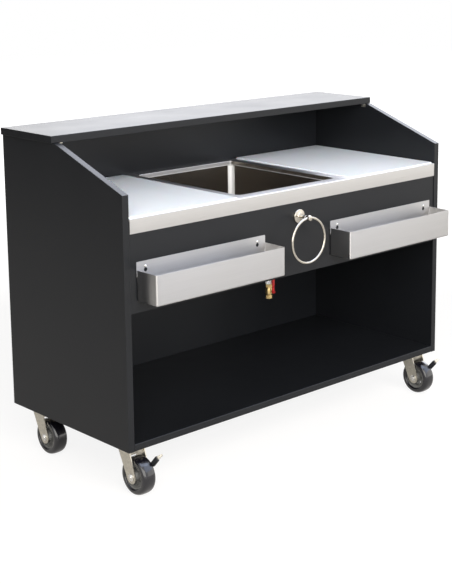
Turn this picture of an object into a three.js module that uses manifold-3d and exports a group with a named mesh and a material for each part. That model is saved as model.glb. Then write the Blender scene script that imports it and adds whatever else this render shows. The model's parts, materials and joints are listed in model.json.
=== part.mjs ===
// A portable bar on casters. A laminated cabinet, open toward the bartender, carries a formed
// stainless worktop with a sunk sink, two cutting boards, two hanging speed rails, a towel ring
// and a drain with a ball valve.
// Millimetres, +Z up, +X along the bar, -Y toward the bartender. The origin is on the floor under
// the middle of the bar's outline.

import * as THREE from 'three';
import { mergeVertices } from 'three/addons/utils/BufferGeometryUtils.js';
import Module from 'manifold-3d';

const wasm = await Module();
wasm.setup();

// Cabinet
const CABINET_WIDTH = 1524;
const OVERALL_HEIGHT = 1143;
const PANEL = 24;
const BAR_TOP_THICKNESS = 24;
const BAR_TOP_DEPTH = 298;
const BAR_TOP_OVERHANG = 6;
const SLOPE_RUN_IN = 10;
const SLOPE_FOOT_HEIGHT = 995;
const ARRIS = 1;
const FIT = 0.3;
const SEAM = 0.02;
const OVERRUN = 1;

// Apron and the battens that carry the worktop
const APRON_THICKNESS = 18;
const APRON_RECESS = 3.5;
const APRON_BOTTOM_HEIGHT = 613;
const CLEAT_WIDTH = 18;
const CLEAT_HEIGHT = 38;
const BRACKET_LEG = 12;
const BRACKET_SHOWS = 2;
const BRACKET_WIDTH = 20;
const BRACKET_SHEET = 2;

// Worktop, sink and cutting boards
const WORKTOP_HEIGHT = 919;
const WORKTOP_SHEET = 1.5;
const WORKTOP_END_GAP = 2;
const BAND_HEIGHT = 49;
const BAND_BEND = 2.5;
const LIP_WIDTH = 5;
const DECK_WIDTH = 550;
const SINK_WIDTH = 470;
const SINK_DEPTH_FRONT_TO_BACK = 560;
const SINK_FRONT_LEDGE = 50;
const SINK_BACK_LEDGE = 24;
const SINK_CORNER = 18;
const SINK_FLANGE_DROP = 12;
const BOWL_DEPTH = 254;
const BOWL_SHEET = 1.2;
const BOWL_RIM = 10;
const BOWL_COVE = 16;
const BOARD_THICKNESS = 12.7;
const BOARD_PROUD = 4;
const BOARD_GAP = 1.5;
const BOARD_CORNER = 24;

// Speed rails and their screws
const RAIL_FROM_MIDDLE = 160.5;
const RAIL_FROM_SIDE = 49.5;
const RAIL_DEPTH = 100;
const RAIL_FRONT_HEIGHT = 100;
const RAIL_BACK_HEIGHT = 126;
const RAIL_BOTTOM_HEIGHT = 652;
const RAIL_SHEET = 1.5;
const RAIL_BEND = 4;
const KEYHOLE_FROM_END = 36;
const KEYHOLE_FROM_TOP = 18;
const KEYHOLE_DROP = 11;
const KEYHOLE_MOUTH_RADIUS = 6;
const SCREW_RADIUS = 2.1;
const SCREW_HEAD_RADIUS = 4.8;
const SCREW_HEAD_HEIGHT = 2.8;
const SCREW_DOME_RADIUS = 3.4;
const SCREW_DOME_RISE = 2.4;
const SCREW_LENGTH = 15;

// Towel ring
const ROSE_RADIUS = 25;
const ROSE_THICKNESS = 9;
const POST_HEIGHT = 820;
const POST_RADIUS = 6;
const POST_REACH = 51.5;
const POST_HEAD_RADIUS = 9.5;
const POST_HEAD_LENGTH = 24;
const POST_NOSE_RADIUS = 7.6;
const RING_RADIUS = 79;
const RING_TUBE_RADIUS = 4.5;
const RING_PLAY = 1.4;

// Drain and ball valve
const DRAIN_FROM_SINK_FRONT = 104;
const DRAIN_FLANGE_RADIUS = 40;
const DRAIN_FLANGE_THICKNESS = 2;
const DRAIN_BODY_RADIUS = 25;
const DRAIN_WALL = 3;
const DRAIN_CUP_DEPTH = 42;
const DRAIN_BORE = 8;
const DRAIN_FLARE = 4;
const LOCKNUT_RADIUS = 37;
const LOCKNUT_HEIGHT = 10;
const STRAINER_THICKNESS = 1.5;
const STRAINER_KNOB_RADIUS = 4;
const STRAINER_KNOB_HEIGHT = 14;
const STRAINER_HOLE_RADIUS = 2.2;
const STRAINER_HOLES = 6;
const COUPLING_RADIUS = 17;
const COUPLING_HEIGHT = 16;
const TAILPIPE_RADIUS = 10.5;
const TAILPIPE_LENGTH = 44;
const INLET_NUT_RADIUS = 13.5;
const INLET_NUT_HEIGHT = 13;
const VALVE_COLLAR_RADIUS = 12.5;
const VALVE_COLLAR_HEIGHT = 12;
const VALVE_NECK_RADIUS = 10.5;
const VALVE_NECK_LENGTH = 5;
const VALVE_BALL_RADIUS = 9.5;
const VALVE_BALL_BORE = 6.2;
const VALVE_BALL_BOSS = 6;
const VALVE_BALL_BOSS_DEPTH = 6.6;
const VALVE_BORE = 7.4;
const VALVE_WALL = 2.5;
const STEM_RADIUS = 3;
const STEM_REACH = 29;
const LEVER_SHEET = 2.5;
const LEVER_WIDTH = 12;
const LEVER_LENGTH = 74;
const LEVER_GRIP_RADIUS = 4.5;
const LEVER_STAND_OFF = 22;
const LEVER_NUT_RADIUS = 5.6;

// Casters
const CASTER_HEIGHT = 162;
const WHEEL_RADIUS = 63.5;
const CASTER_FROM_SIDE = 62;
const CASTER_FROM_FRONT = 71;
const CASTER_FROM_BACK = 99;
const CASTER_TRAIL = 38;
const PLATE_WIDTH = 64;
const PLATE_LENGTH = 92;
const PLATE_THICKNESS = 3.2;
const PLATE_CORNER = 8;
const PLATE_BOLT_WIDTH = 45;
const PLATE_BOLT_LENGTH = 73;
const PLATE_BOLT_RADIUS = 4.2;
const RACE_RADIUS = 27;
const RACE_HEIGHT = 9.2;
const RACE_TOP_RADIUS = 23;
const RACE_SHOULDER = 3;
const KINGPIN_RADIUS = 6;
const KINGPIN_HEAD_RADIUS = 10;
const KINGPIN_FACE_RADIUS = 7;
const KINGPIN_HEAD_HEIGHT = 5.5;
const FORK_SHEET = 3.5;
const FORK_GAP = 56;
const FORK_CROWN_THICKNESS = 4.5;
const FORK_TOP_FRONT = 31;
const FORK_TOP_BACK = 27;
const FORK_END_RADIUS = 19;
const AXLE_RADIUS = 5;
const AXLE_HEAD_RADIUS = 8.5;
const AXLE_HEAD_HEIGHT = 5.5;
const RUNNING_GAP = 0.5;
const TREAD_WIDTH = 50;
const TREAD_SHOULDER = 48;
const TREAD_INNER_RADIUS = 43.2;
const HUB_RADIUS = 15;
const WEB_WIDTH = 20;
const CORE_RIM_WIDTH = 42;
const CORE_RIM_DEPTH = 6;
const CORE_DRAFT = 1;
const WEB_HOLE_RADIUS = 4;
const WEB_HOLES = 6;

// Brake pedals on the two casters at the bartender's side
const PEDAL_LEAN = 132;
const PEDAL_SHEET = 3;
const PEDAL_WIDTH = 18;
const PEDAL_EYE_RADIUS = 14;
const PEDAL_ARM = 92;
const PEDAL_TOE_RISE = 14;
const PEDAL_TOE_OUT = 11;
const PAD_THICKNESS = 2.5;
const PAD_FROM_AXLE = 48;
const PAD_LENGTH = 40;

// Facets of round pieces
const FINE = 28;
const MIDDLE = 20;
const COARSE = 12;
const SMALL = 8;
const TINY = 6;
const ARC_STEPS = 2;
const WIDE_ARC_STEPS = 5;

// Places worked out from the sizes above
const HALF_WIDTH = CABINET_WIDTH / 2;
const INNER_HALF = HALF_WIDTH - PANEL;
const FRONT = -SINK_DEPTH_FRONT_TO_BACK / 2 - SINK_FRONT_LEDGE;
const WORKTOP_BACK = SINK_DEPTH_FRONT_TO_BACK / 2 + SINK_BACK_LEDGE;
const BACK_INSIDE = WORKTOP_BACK + WORKTOP_END_GAP;
const BACK = BACK_INSIDE + PANEL;
const BASE = CASTER_HEIGHT;
const SIDE_TOP = OVERALL_HEIGHT - BAR_TOP_THICKNESS - FIT;
const BAR_TOP_FRONT = BACK - BAR_TOP_DEPTH;
const APRON_FRONT = FRONT + APRON_RECESS;
const APRON_BACK = APRON_FRONT + APRON_THICKNESS;
const WORKTOP_HALF = INNER_HALF - WORKTOP_END_GAP;
const DECK_HALF = DECK_WIDTH / 2;
const PAN_FLOOR = WORKTOP_HEIGHT + BOARD_PROUD - BOARD_THICKNESS - FIT;
const PAN_UNDERSIDE = PAN_FLOOR - WORKTOP_SHEET;
const BOWL_FLOOR = WORKTOP_HEIGHT - BOWL_DEPTH;
const DRAIN_Y = DRAIN_FROM_SINK_FRONT - SINK_DEPTH_FRONT_TO_BACK / 2;
const RAIL_OUTER_END = HALF_WIDTH - RAIL_FROM_SIDE;
const RAIL_LENGTH = RAIL_OUTER_END - RAIL_FROM_MIDDLE;
const RAIL_CENTRE = (RAIL_OUTER_END + RAIL_FROM_MIDDLE) / 2;
const RAIL_BACK = APRON_FRONT - FIT;
const RAIL_FRONT = RAIL_BACK - RAIL_DEPTH;
const RAIL_TOP = RAIL_BOTTOM_HEIGHT + RAIL_BACK_HEIGHT;
const SCREW_HEIGHT = RAIL_TOP - KEYHOLE_FROM_TOP;
const RING_PLANE = APRON_FRONT - POST_REACH;
const FORK_HALF = FORK_GAP / 2;
const PLATE_TOP = CASTER_HEIGHT - FIT;
const RACE_BOTTOM = PLATE_TOP - PLATE_THICKNESS - RACE_HEIGHT;
const CROWN_TOP = RACE_BOTTOM - FIT;
const CROWN_BOTTOM = CROWN_TOP - FORK_CROWN_THICKNESS;
const OUTLINE_MIDDLE = (RAIL_FRONT + BACK) / 2;

const FINISHES = {
  laminate: { color: 0x232326, roughness: 0.42, metalness: 0 },
  batten: { color: 0x1b1b1d, roughness: 0.7, metalness: 0 },
  stainless: { color: 0xc9c6c0, roughness: 0.34, metalness: 1 },
  polyethylene: { color: 0xeef1f4, roughness: 0.5, metalness: 0 },
  zinc: { color: 0xbdb8ab, roughness: 0.36, metalness: 1 },
  nickel: { color: 0xd6d2c8, roughness: 0.26, metalness: 1 },
  brass: { color: 0xc9a655, roughness: 0.32, metalness: 1 },
  nylon: { color: 0xe9e6df, roughness: 0.45, metalness: 0 },
  vinyl: { color: 0xb4201c, roughness: 0.4, metalness: 0 },
  tread: { color: 0x2a2930, roughness: 0.22, metalness: 0 },
  core: { color: 0x414143, roughness: 0.5, metalness: 0 },
  rubber: { color: 0x1e2022, roughness: 0.6, metalness: 0 },
};

// Axes that carry a drawn profile into the model: across, up, and the way it is drawn out.
const AXIS_X = new THREE.Vector3(1, 0, 0);
const AXIS_Y = new THREE.Vector3(0, 1, 0);
const AXIS_Z = new THREE.Vector3(0, 0, 1);
const FACING_X = new THREE.Matrix4().makeBasis(AXIS_Y, AXIS_Z, AXIS_X);
const FACING_BARTENDER = new THREE.Matrix4().makeBasis(AXIS_X, AXIS_Z, AXIS_Y.clone().negate());
const FACING_UP = new THREE.Matrix4();

// A closed geometry becomes a solid that can be joined and cut. Slivers at a turned piece's axis go.
function solidOf(geometry) {
  geometry.deleteAttribute('normal');
  geometry.deleteAttribute('uv');
  const merged = mergeVertices(geometry, 1e-4);
  const corners = merged.index.array;
  const kept = [];
  for (let i = 0; i < corners.length; i += 3) {
    const [a, b, c] = corners.slice(i, i + 3);
    if (a !== b && b !== c && c !== a) kept.push(a, b, c);
  }
  return new wasm.Manifold(new wasm.Mesh({
    numProp: 3,
    vertProperties: Float32Array.from(merged.attributes.position.array),
    triVerts: Uint32Array.from(kept),
  }));
}

// A box between two corners, with each face exactly on the corner's own coordinate.
function block(low, high) {
  const geometry = new THREE.BoxGeometry(2, 2, 2);
  const position = geometry.attributes.position;
  for (let i = 0; i < position.count; i += 1) {
    const corner = new THREE.Vector3().fromBufferAttribute(position, i);
    position.setXYZ(
      i,
      corner.x > 0 ? high.x : low.x,
      corner.y > 0 ? high.y : low.y,
      corner.z > 0 ? high.z : low.z,
    );
  }
  return solidOf(geometry);
}

function point(x, y, z) {
  return new THREE.Vector3(x, y, z);
}

// A drawn outline pulled straight along the third axis of its facing, from one place to another.
function drawnOut(shape, facing, from, to, arris = 0, arcSteps = ARC_STEPS) {
  const geometry = new THREE.ExtrudeGeometry(shape, {
    depth: Math.abs(to - from) - 2 * arris,
    curveSegments: arcSteps,
    bevelEnabled: arris > 0,
    bevelThickness: arris,
    bevelSize: arris,
    bevelOffset: -arris,
    bevelSegments: 1,
  });
  const start = facing === FACING_BARTENDER ? -Math.max(from, to) : Math.min(from, to);
  geometry.translate(0, 0, start + arris);
  return solidOf(geometry.applyMatrix4(facing));
}

function polygon(points) {
  return new THREE.Shape(points.map(([across, up]) => new THREE.Vector2(across, up)));
}

function roundedRectangle(left, bottom, right, top, radius) {
  const shape = new THREE.Shape();
  shape.absarc(right - radius, top - radius, radius, 0, Math.PI / 2);
  shape.absarc(left + radius, top - radius, radius, Math.PI / 2, Math.PI);
  shape.absarc(left + radius, bottom + radius, radius, Math.PI, 1.5 * Math.PI);
  shape.absarc(right - radius, bottom + radius, radius, 1.5 * Math.PI, 2 * Math.PI);
  return shape;
}

// A bent strip of even thickness along a path of straight runs.
function strip(path, thickness) {
  const runs = path.map(([across, up]) => new THREE.Vector2(across, up));
  const offsets = runs.map((here, i) => {
    const before = runs[Math.max(i - 1, 0)];
    const after = runs[Math.min(i + 1, runs.length - 1)];
    const arriving = (i > 0 ? here.clone().sub(before) : after.clone().sub(here)).normalize();
    const leaving = (i < runs.length - 1 ? after.clone().sub(here) : arriving.clone()).normalize();
    const mitre = arriving.clone().add(leaving).normalize();
    const reach = thickness / 2 / mitre.dot(arriving);
    return new THREE.Vector2(-mitre.y, mitre.x).multiplyScalar(reach);
  });
  const left = runs.map((here, i) => here.clone().add(offsets[i]));
  const right = runs.map((here, i) => here.clone().sub(offsets[i])).reverse();
  return new THREE.Shape([...right, ...left]);
}

// A profile of [radius, height] pairs turned about Z, X or the bartender's direction.
function turned(profile, sides, axis = 'z') {
  const geometry = new THREE.LatheGeometry(profile.map(([r, h]) => new THREE.Vector2(r, h)), sides);
  if (axis === 'z') geometry.rotateX(Math.PI / 2);
  if (axis === 'x') geometry.rotateZ(-Math.PI / 2);
  if (axis === 'bartender') geometry.rotateX(Math.PI);
  return solidOf(geometry);
}

function rod(radius, from, to, sides, axis) {
  return turned([[0, from], [radius, from], [radius, to], [0, to]], sides, axis);
}

function collar(inner, outer, from, to, sides, axis) {
  const section = [[inner, from], [outer, from], [outer, to], [inner, to], [inner, from]];
  return turned(section, sides, axis);
}

function hexagon(radius, from, to, axis) {
  return rod(radius, from, to, 6, axis);
}

// A skin through rings of equal point counts, closed at both ends.
function lofted(rings) {
  const count = rings[0].length;
  const positions = rings.flat().flatMap((corner) => corner.toArray());
  const corners = [];
  for (let r = 0; r < rings.length - 1; r += 1) {
    for (let i = 0; i < count; i += 1) {
      const a = r * count + i;
      const b = r * count + ((i + 1) % count);
      corners.push(a, b, b + count, a, b + count, a + count);
    }
  }
  const last = (rings.length - 1) * count;
  for (let i = 1; i < count - 1; i += 1) {
    corners.push(0, i + 1, i);
    corners.push(last, last + i, last + i + 1);
  }
  const geometry = new THREE.BufferGeometry();
  geometry.setAttribute('position', new THREE.Float32BufferAttribute(positions, 3));
  geometry.setIndex(corners);
  return solidOf(geometry);
}

function mesh(name, solid, finish) {
  const data = solid.simplify(SEAM).getMesh();
  const geometry = new THREE.BufferGeometry();
  geometry.setAttribute('position', new THREE.BufferAttribute(data.vertProperties, 3));
  geometry.setIndex(new THREE.BufferAttribute(data.triVerts, 1));
  geometry.computeVertexNormals();
  const piece = new THREE.Mesh(geometry, new THREE.MeshStandardMaterial(FINISHES[finish]));
  piece.name = name;
  return piece;
}

const SIDES = { left: -1, right: 1 };

function sidePanel(side) {
  const outline = polygon([
    [FRONT, BASE], [BACK, BASE], [BACK, SIDE_TOP],
    [BAR_TOP_FRONT - SLOPE_RUN_IN, SIDE_TOP], [FRONT, SLOPE_FOOT_HEIGHT],
  ]);
  return drawnOut(outline, FACING_X, side * INNER_HALF, side * HALF_WIDTH, ARRIS);
}

function panelBetweenSides(front, back, bottom, top) {
  const reach = INNER_HALF - FIT;
  const outline = polygon([[-reach, bottom], [reach, bottom], [reach, top], [-reach, top]]);
  return drawnOut(outline, FACING_BARTENDER, front, back, ARRIS);
}

function barTop() {
  const reach = HALF_WIDTH + BAR_TOP_OVERHANG;
  const outline = polygon([
    [-reach, BAR_TOP_FRONT], [reach, BAR_TOP_FRONT], [reach, BACK], [-reach, BACK],
  ]);
  return drawnOut(outline, FACING_UP, OVERALL_HEIGHT - BAR_TOP_THICKNESS, OVERALL_HEIGHT, ARRIS);
}

function screwPlaces() {
  const reach = RAIL_LENGTH / 2 - KEYHOLE_FROM_END;
  return Object.values(SIDES).flatMap((side) => [
    side * RAIL_CENTRE - reach,
    side * RAIL_CENTRE + reach,
  ]);
}

// The apron closes the front under the worktop and takes the rails' screws.
function apron() {
  let panel = panelBetweenSides(APRON_FRONT, APRON_BACK, APRON_BOTTOM_HEIGHT, PAN_UNDERSIDE - FIT);
  const hole = rod(SCREW_RADIUS + FIT, -APRON_BACK - OVERRUN, -APRON_FRONT + OVERRUN, COARSE, 'bartender');
  screwPlaces().forEach((x) => {
    panel = panel.subtract(hole.translate([x, 0, SCREW_HEIGHT]));
  });
  return panel;
}

function sideCleat(side) {
  const top = PAN_UNDERSIDE - FIT;
  const outer = side * (INNER_HALF - FIT);
  const inner = outer - side * CLEAT_WIDTH;
  const low = point(Math.min(inner, outer), APRON_BACK + FIT, top - CLEAT_HEIGHT);
  return block(low, point(Math.max(inner, outer), BACK_INSIDE - FIT, top));
}

function backCleat() {
  const top = PAN_UNDERSIDE - FIT;
  const reach = INNER_HALF - CLEAT_WIDTH - 2 * FIT;
  const back = BACK_INSIDE - FIT;
  return block(point(-reach, back - CLEAT_WIDTH, top - CLEAT_HEIGHT), point(reach, back, top));
}

// A folded angle fixes the bar top to the inside of a side panel.
function topBracket(side) {
  const wall = side * (INNER_HALF - FIT - BRACKET_SHEET / 2);
  const ceiling = SIDE_TOP - BRACKET_SHEET / 2;
  const path = [[wall, ceiling - BRACKET_LEG], [wall, ceiling], [wall - side * BRACKET_LEG, ceiling]];
  const front = BAR_TOP_FRONT - BRACKET_SHOWS;
  return drawnOut(strip(path, BRACKET_SHEET), FACING_BARTENDER, front, front + BRACKET_WIDTH);
}

function sinkOpening(grow) {
  const halfX = SINK_WIDTH / 2 + grow;
  const halfY = SINK_DEPTH_FRONT_TO_BACK / 2 + grow;
  return roundedRectangle(-halfX, -halfY, halfX, halfY, SINK_CORNER + grow);
}

// The outside of the folded worktop: front band, rounded bend and top, along the whole bar.
function worktopBlank() {
  const top = WORKTOP_HEIGHT;
  const section = new THREE.Shape();
  section.moveTo(FRONT, top - BAND_HEIGHT);
  section.lineTo(WORKTOP_BACK, top - BAND_HEIGHT);
  section.lineTo(WORKTOP_BACK, top);
  section.lineTo(FRONT + BAND_BEND, top);
  section.absarc(FRONT + BAND_BEND, top - BAND_BEND, BAND_BEND, Math.PI / 2, Math.PI);
  return drawnOut(section, FACING_X, -WORKTOP_HALF, WORKTOP_HALF);
}

// The sunk pan for one cutting board, inside the lip, the end and the back upstand.
function worktopPan(side) {
  const inner = side * DECK_HALF;
  const outer = side * (WORKTOP_HALF - WORKTOP_SHEET);
  return block(
    point(Math.min(inner, outer), FRONT + LIP_WIDTH, PAN_FLOOR),
    point(Math.max(inner, outer), WORKTOP_BACK - WORKTOP_SHEET, WORKTOP_HEIGHT + OVERRUN),
  );
}

// Everything under the sheet, save the turned-down edge of the sink hole.
function underWorktop() {
  const pans = block(
    point(-HALF_WIDTH, FRONT + WORKTOP_SHEET, WORKTOP_HEIGHT - BAND_HEIGHT - OVERRUN),
    point(HALF_WIDTH, BACK, PAN_UNDERSIDE),
  );
  const deck = block(
    point(WORKTOP_SHEET - DECK_HALF, FRONT + BAND_BEND, PAN_UNDERSIDE - OVERRUN),
    point(DECK_HALF - WORKTOP_SHEET, WORKTOP_BACK - WORKTOP_SHEET, WORKTOP_HEIGHT - WORKTOP_SHEET),
  );
  const flangeBottom = WORKTOP_HEIGHT - SINK_FLANGE_DROP;
  const flange = drawnOut(sinkOpening(WORKTOP_SHEET), FACING_UP, flangeBottom, WORKTOP_HEIGHT);
  return pans.add(deck).subtract(flange);
}

// A folded sheet with a deck between two pans, pierced for the sink.
function worktop() {
  const hole = drawnOut(sinkOpening(0), FACING_UP, WORKTOP_HEIGHT - BAND_HEIGHT, WORKTOP_HEIGHT + OVERRUN);
  return worktopBlank()
    .subtract(underWorktop())
    .subtract(worktopPan(SIDES.left))
    .subtract(worktopPan(SIDES.right))
    .subtract(hole);
}

// One level of the bowl's wall: a rounded rectangle drawn in by the cove near the floor.
function bowlRing(grow, inset, height) {
  const halfX = SINK_WIDTH / 2 + grow - inset;
  const halfY = SINK_DEPTH_FRONT_TO_BACK / 2 + grow - inset;
  const outline = roundedRectangle(-halfX, -halfY, halfX, halfY, SINK_CORNER + grow - inset);
  return outline.getPoints(ARC_STEPS).map((p) => point(p.x, p.y, height));
}

function bowlSkin(grow, floor, top) {
  const rings = [];
  for (let step = 0; step <= ARC_STEPS; step += 1) {
    const angle = (Math.PI / 2) * (step / ARC_STEPS);
    rings.push(bowlRing(grow, BOWL_COVE * (1 - Math.sin(angle)), floor + BOWL_COVE * (1 - Math.cos(angle))));
  }
  rings.push(bowlRing(grow, 0, top));
  return lofted(rings);
}

// The drawn bowl hangs by its rim under the deck, just outside the hole's turned-down edge.
function sinkBowl() {
  const rimTop = WORKTOP_HEIGHT - WORKTOP_SHEET - FIT;
  const inside = WORKTOP_SHEET + FIT;
  const outside = inside + BOWL_SHEET;
  const rim = drawnOut(sinkOpening(outside + BOWL_RIM), FACING_UP, rimTop - BOWL_SHEET, rimTop);
  const drain = rod(DRAIN_BODY_RADIUS + FIT, BOWL_FLOOR - 2 * BOWL_SHEET, BOWL_FLOOR + BOWL_SHEET, MIDDLE);
  return bowlSkin(outside, BOWL_FLOOR - BOWL_SHEET, rimTop)
    .add(rim)
    .subtract(bowlSkin(inside, BOWL_FLOOR, rimTop + OVERRUN))
    .subtract(drain.translate([0, DRAIN_Y, 0]));
}

function cuttingBoard(side) {
  const inner = side * (DECK_HALF + BOARD_GAP);
  const outer = side * (WORKTOP_HALF - WORKTOP_SHEET - BOARD_GAP);
  const outline = roundedRectangle(
    Math.min(inner, outer), FRONT + LIP_WIDTH + BOARD_GAP,
    Math.max(inner, outer), WORKTOP_BACK - WORKTOP_SHEET - BOARD_GAP, BOARD_CORNER,
  );
  const underside = PAN_FLOOR + FIT;
  return drawnOut(outline, FACING_UP, underside, underside + BOARD_THICKNESS, ARRIS);
}

// A hanging hole: a slot that seats on the screw's shank, over a mouth wide enough for its head.
function keyhole() {
  const slot = SCREW_RADIUS + FIT;
  const through = [-RAIL_BACK - OVERRUN, -RAIL_BACK + RAIL_SHEET + OVERRUN];
  const seat = rod(slot, ...through, COARSE, 'bartender').translate([0, 0, SCREW_HEIGHT]);
  const mouth = rod(KEYHOLE_MOUTH_RADIUS, ...through, COARSE, 'bartender');
  const neck = block(
    point(-slot, -through[1], SCREW_HEIGHT - KEYHOLE_DROP),
    point(slot, -through[0], SCREW_HEIGHT),
  );
  return seat.add(neck).add(mouth.translate([0, 0, SCREW_HEIGHT - KEYHOLE_DROP]));
}

// A folded trough, open at the top, with a higher back that hangs on two screws.
function speedRail(side) {
  const half = RAIL_LENGTH / 2;
  const footprint = (inset, radius) => roundedRectangle(
    -half + inset, RAIL_FRONT + inset, half - inset, RAIL_BACK - inset, radius,
  );
  const bottom = RAIL_BOTTOM_HEIGHT;
  const brim = bottom + RAIL_FRONT_HEIGHT;
  const outside = drawnOut(footprint(0, RAIL_BEND), FACING_UP, bottom, brim);
  const room = footprint(RAIL_SHEET, RAIL_BEND - RAIL_SHEET);
  const inside = drawnOut(room, FACING_UP, bottom + RAIL_SHEET, brim + OVERRUN);
  const sheet = roundedRectangle(-half, bottom, half, RAIL_TOP, RAIL_BEND);
  const back = drawnOut(sheet, FACING_BARTENDER, RAIL_BACK - RAIL_SHEET, RAIL_BACK);
  const hanging = half - KEYHOLE_FROM_END;
  return outside.subtract(inside).add(back)
    .subtract(keyhole().translate([-hanging, 0, 0]))
    .subtract(keyhole().translate([hanging, 0, 0]))
    .translate([side * RAIL_CENTRE, 0, 0]);
}

// A round-headed screw stands out of the apron by the rail's sheet and a little play.
function railScrew() {
  const seat = -RAIL_BACK + RAIL_SHEET + FIT;
  return turned([
    [0, seat - SCREW_LENGTH], [SCREW_RADIUS, seat - SCREW_LENGTH], [SCREW_RADIUS, seat],
    [SCREW_HEAD_RADIUS, seat], [SCREW_HEAD_RADIUS, seat + SCREW_HEAD_HEIGHT / 3],
    [SCREW_DOME_RADIUS, seat + SCREW_DOME_RISE], [0, seat + SCREW_HEAD_HEIGHT],
  ], COARSE, 'bartender').translate([0, 0, SCREW_HEIGHT]);
}

function towelRose() {
  const wall = -APRON_FRONT + FIT;
  const face = wall + ROSE_THICKNESS;
  const bore = POST_RADIUS + FIT;
  return turned([
    [bore, wall], [ROSE_RADIUS, wall], [ROSE_RADIUS, face - 2], [ROSE_RADIUS - 2, face],
    [bore, face], [bore, wall],
  ], MIDDLE, 'bartender').translate([0, 0, POST_HEIGHT]);
}

// The post stands out of the rose and ends in a head that is bored across for the ring.
function towelPost() {
  const wall = -APRON_FRONT + FIT;
  const headStart = -RING_PLANE - POST_HEAD_LENGTH / 2;
  const headEnd = -RING_PLANE + POST_HEAD_LENGTH / 2;
  const nose = POST_HEAD_RADIUS / 2;
  const post = turned([
    [0, wall], [POST_RADIUS, wall], [POST_RADIUS, headStart], [POST_HEAD_RADIUS, headStart + 2],
    [POST_HEAD_RADIUS, headEnd - nose], [POST_NOSE_RADIUS, headEnd - nose / 3], [nose, headEnd],
    [0, headEnd],
  ], COARSE, 'bartender').translate([0, 0, POST_HEIGHT]);
  const reach = 2 * POST_HEAD_RADIUS;
  const eye = rod(RING_TUBE_RADIUS + RING_PLAY, -reach, reach, COARSE, 'x');
  return post.subtract(eye.translate([0, RING_PLANE, POST_HEIGHT]));
}

function towelRing() {
  const section = Array.from({ length: SMALL + 1 }, (_, i) => {
    const angle = (2 * Math.PI * i) / SMALL;
    return [RING_RADIUS + RING_TUBE_RADIUS * Math.cos(angle), RING_TUBE_RADIUS * Math.sin(angle)];
  });
  const ring = turned(section, 2 * MIDDLE, 'bartender');
  return ring.translate([0, RING_PLANE, POST_HEIGHT - RING_RADIUS]);
}

// Levels of the drain train, each piece under the one before.
const DRAIN_SEAT = BOWL_FLOOR + FIT;
const CUP_BOTTOM = BOWL_FLOOR - DRAIN_CUP_DEPTH;
const TAIL_TOP = CUP_BOTTOM - FIT;
const TAIL_BOTTOM = TAIL_TOP - COUPLING_HEIGHT - TAILPIPE_LENGTH;
const INLET_NUT_BOTTOM = TAIL_BOTTOM - FIT - INLET_NUT_HEIGHT;
const VALVE_TOP = INLET_NUT_BOTTOM - FIT;
const BALL_HOUSING_RADIUS = VALVE_BALL_RADIUS + FIT + VALVE_WALL;
const VALVE_LENGTH = 2 * (VALVE_COLLAR_HEIGHT + VALVE_NECK_LENGTH + VALVE_BALL_RADIUS + FIT);
const BALL_HEIGHT = VALVE_TOP - VALVE_LENGTH / 2;

function atDrain(solid) {
  return solid.translate([0, DRAIN_Y, 0]);
}

function drainBody() {
  const cup = DRAIN_BODY_RADIUS - DRAIN_WALL;
  const top = DRAIN_SEAT + DRAIN_FLANGE_THICKNESS;
  return atDrain(turned([
    [DRAIN_BORE, CUP_BOTTOM], [DRAIN_BODY_RADIUS, CUP_BOTTOM], [DRAIN_BODY_RADIUS, DRAIN_SEAT],
    [DRAIN_FLANGE_RADIUS, DRAIN_SEAT], [DRAIN_FLANGE_RADIUS, top], [cup + DRAIN_FLARE, top],
    [cup, top - DRAIN_FLARE], [cup, CUP_BOTTOM + DRAIN_WALL], [DRAIN_BORE, CUP_BOTTOM + DRAIN_WALL],
    [DRAIN_BORE, CUP_BOTTOM],
  ], MIDDLE));
}

// A pierced disc with a lifting knob drops into the mouth of the drain.
function drainStrainer() {
  const radius = DRAIN_BODY_RADIUS - DRAIN_WALL - FIT;
  const floor = CUP_BOTTOM + DRAIN_WALL + FIT;
  const foot = floor + STRAINER_KNOB_HEIGHT;
  let strainer = rod(radius, foot, foot + STRAINER_THICKNESS, MIDDLE)
    .add(rod(STRAINER_KNOB_RADIUS, foot, foot + STRAINER_KNOB_HEIGHT, COARSE))
    .add(collar(radius - STRAINER_THICKNESS, radius, floor, foot + STRAINER_THICKNESS, MIDDLE));
  const hole = rod(STRAINER_HOLE_RADIUS, foot - OVERRUN, foot + STRAINER_THICKNESS + OVERRUN, SMALL);
  const circle = (STRAINER_KNOB_RADIUS + radius) / 2;
  for (let i = 0; i < STRAINER_HOLES; i += 1) {
    const angle = (2 * Math.PI * i) / STRAINER_HOLES;
    strainer = strainer.subtract(hole.translate([circle * Math.cos(angle), circle * Math.sin(angle), 0]));
  }
  return atDrain(strainer);
}

function drainLocknut() {
  const top = BOWL_FLOOR - BOWL_SHEET - FIT;
  const bore = rod(DRAIN_BODY_RADIUS + FIT, top - LOCKNUT_HEIGHT - OVERRUN, top + OVERRUN, MIDDLE);
  return atDrain(hexagon(LOCKNUT_RADIUS, top - LOCKNUT_HEIGHT, top).subtract(bore));
}

function tailpiece() {
  const shoulder = TAIL_TOP - COUPLING_HEIGHT;
  return atDrain(turned([
    [DRAIN_BORE, TAIL_BOTTOM], [TAILPIPE_RADIUS, TAIL_BOTTOM], [TAILPIPE_RADIUS, shoulder],
    [COUPLING_RADIUS, shoulder], [COUPLING_RADIUS, TAIL_TOP], [DRAIN_BORE, TAIL_TOP],
    [DRAIN_BORE, TAIL_BOTTOM],
  ], COARSE));
}

function inletNut() {
  const top = TAIL_BOTTOM - FIT;
  const bore = rod(DRAIN_BORE, INLET_NUT_BOTTOM - OVERRUN, top + OVERRUN, COARSE);
  return atDrain(hexagon(INLET_NUT_RADIUS, INLET_NUT_BOTTOM, top).subtract(bore));
}

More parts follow.
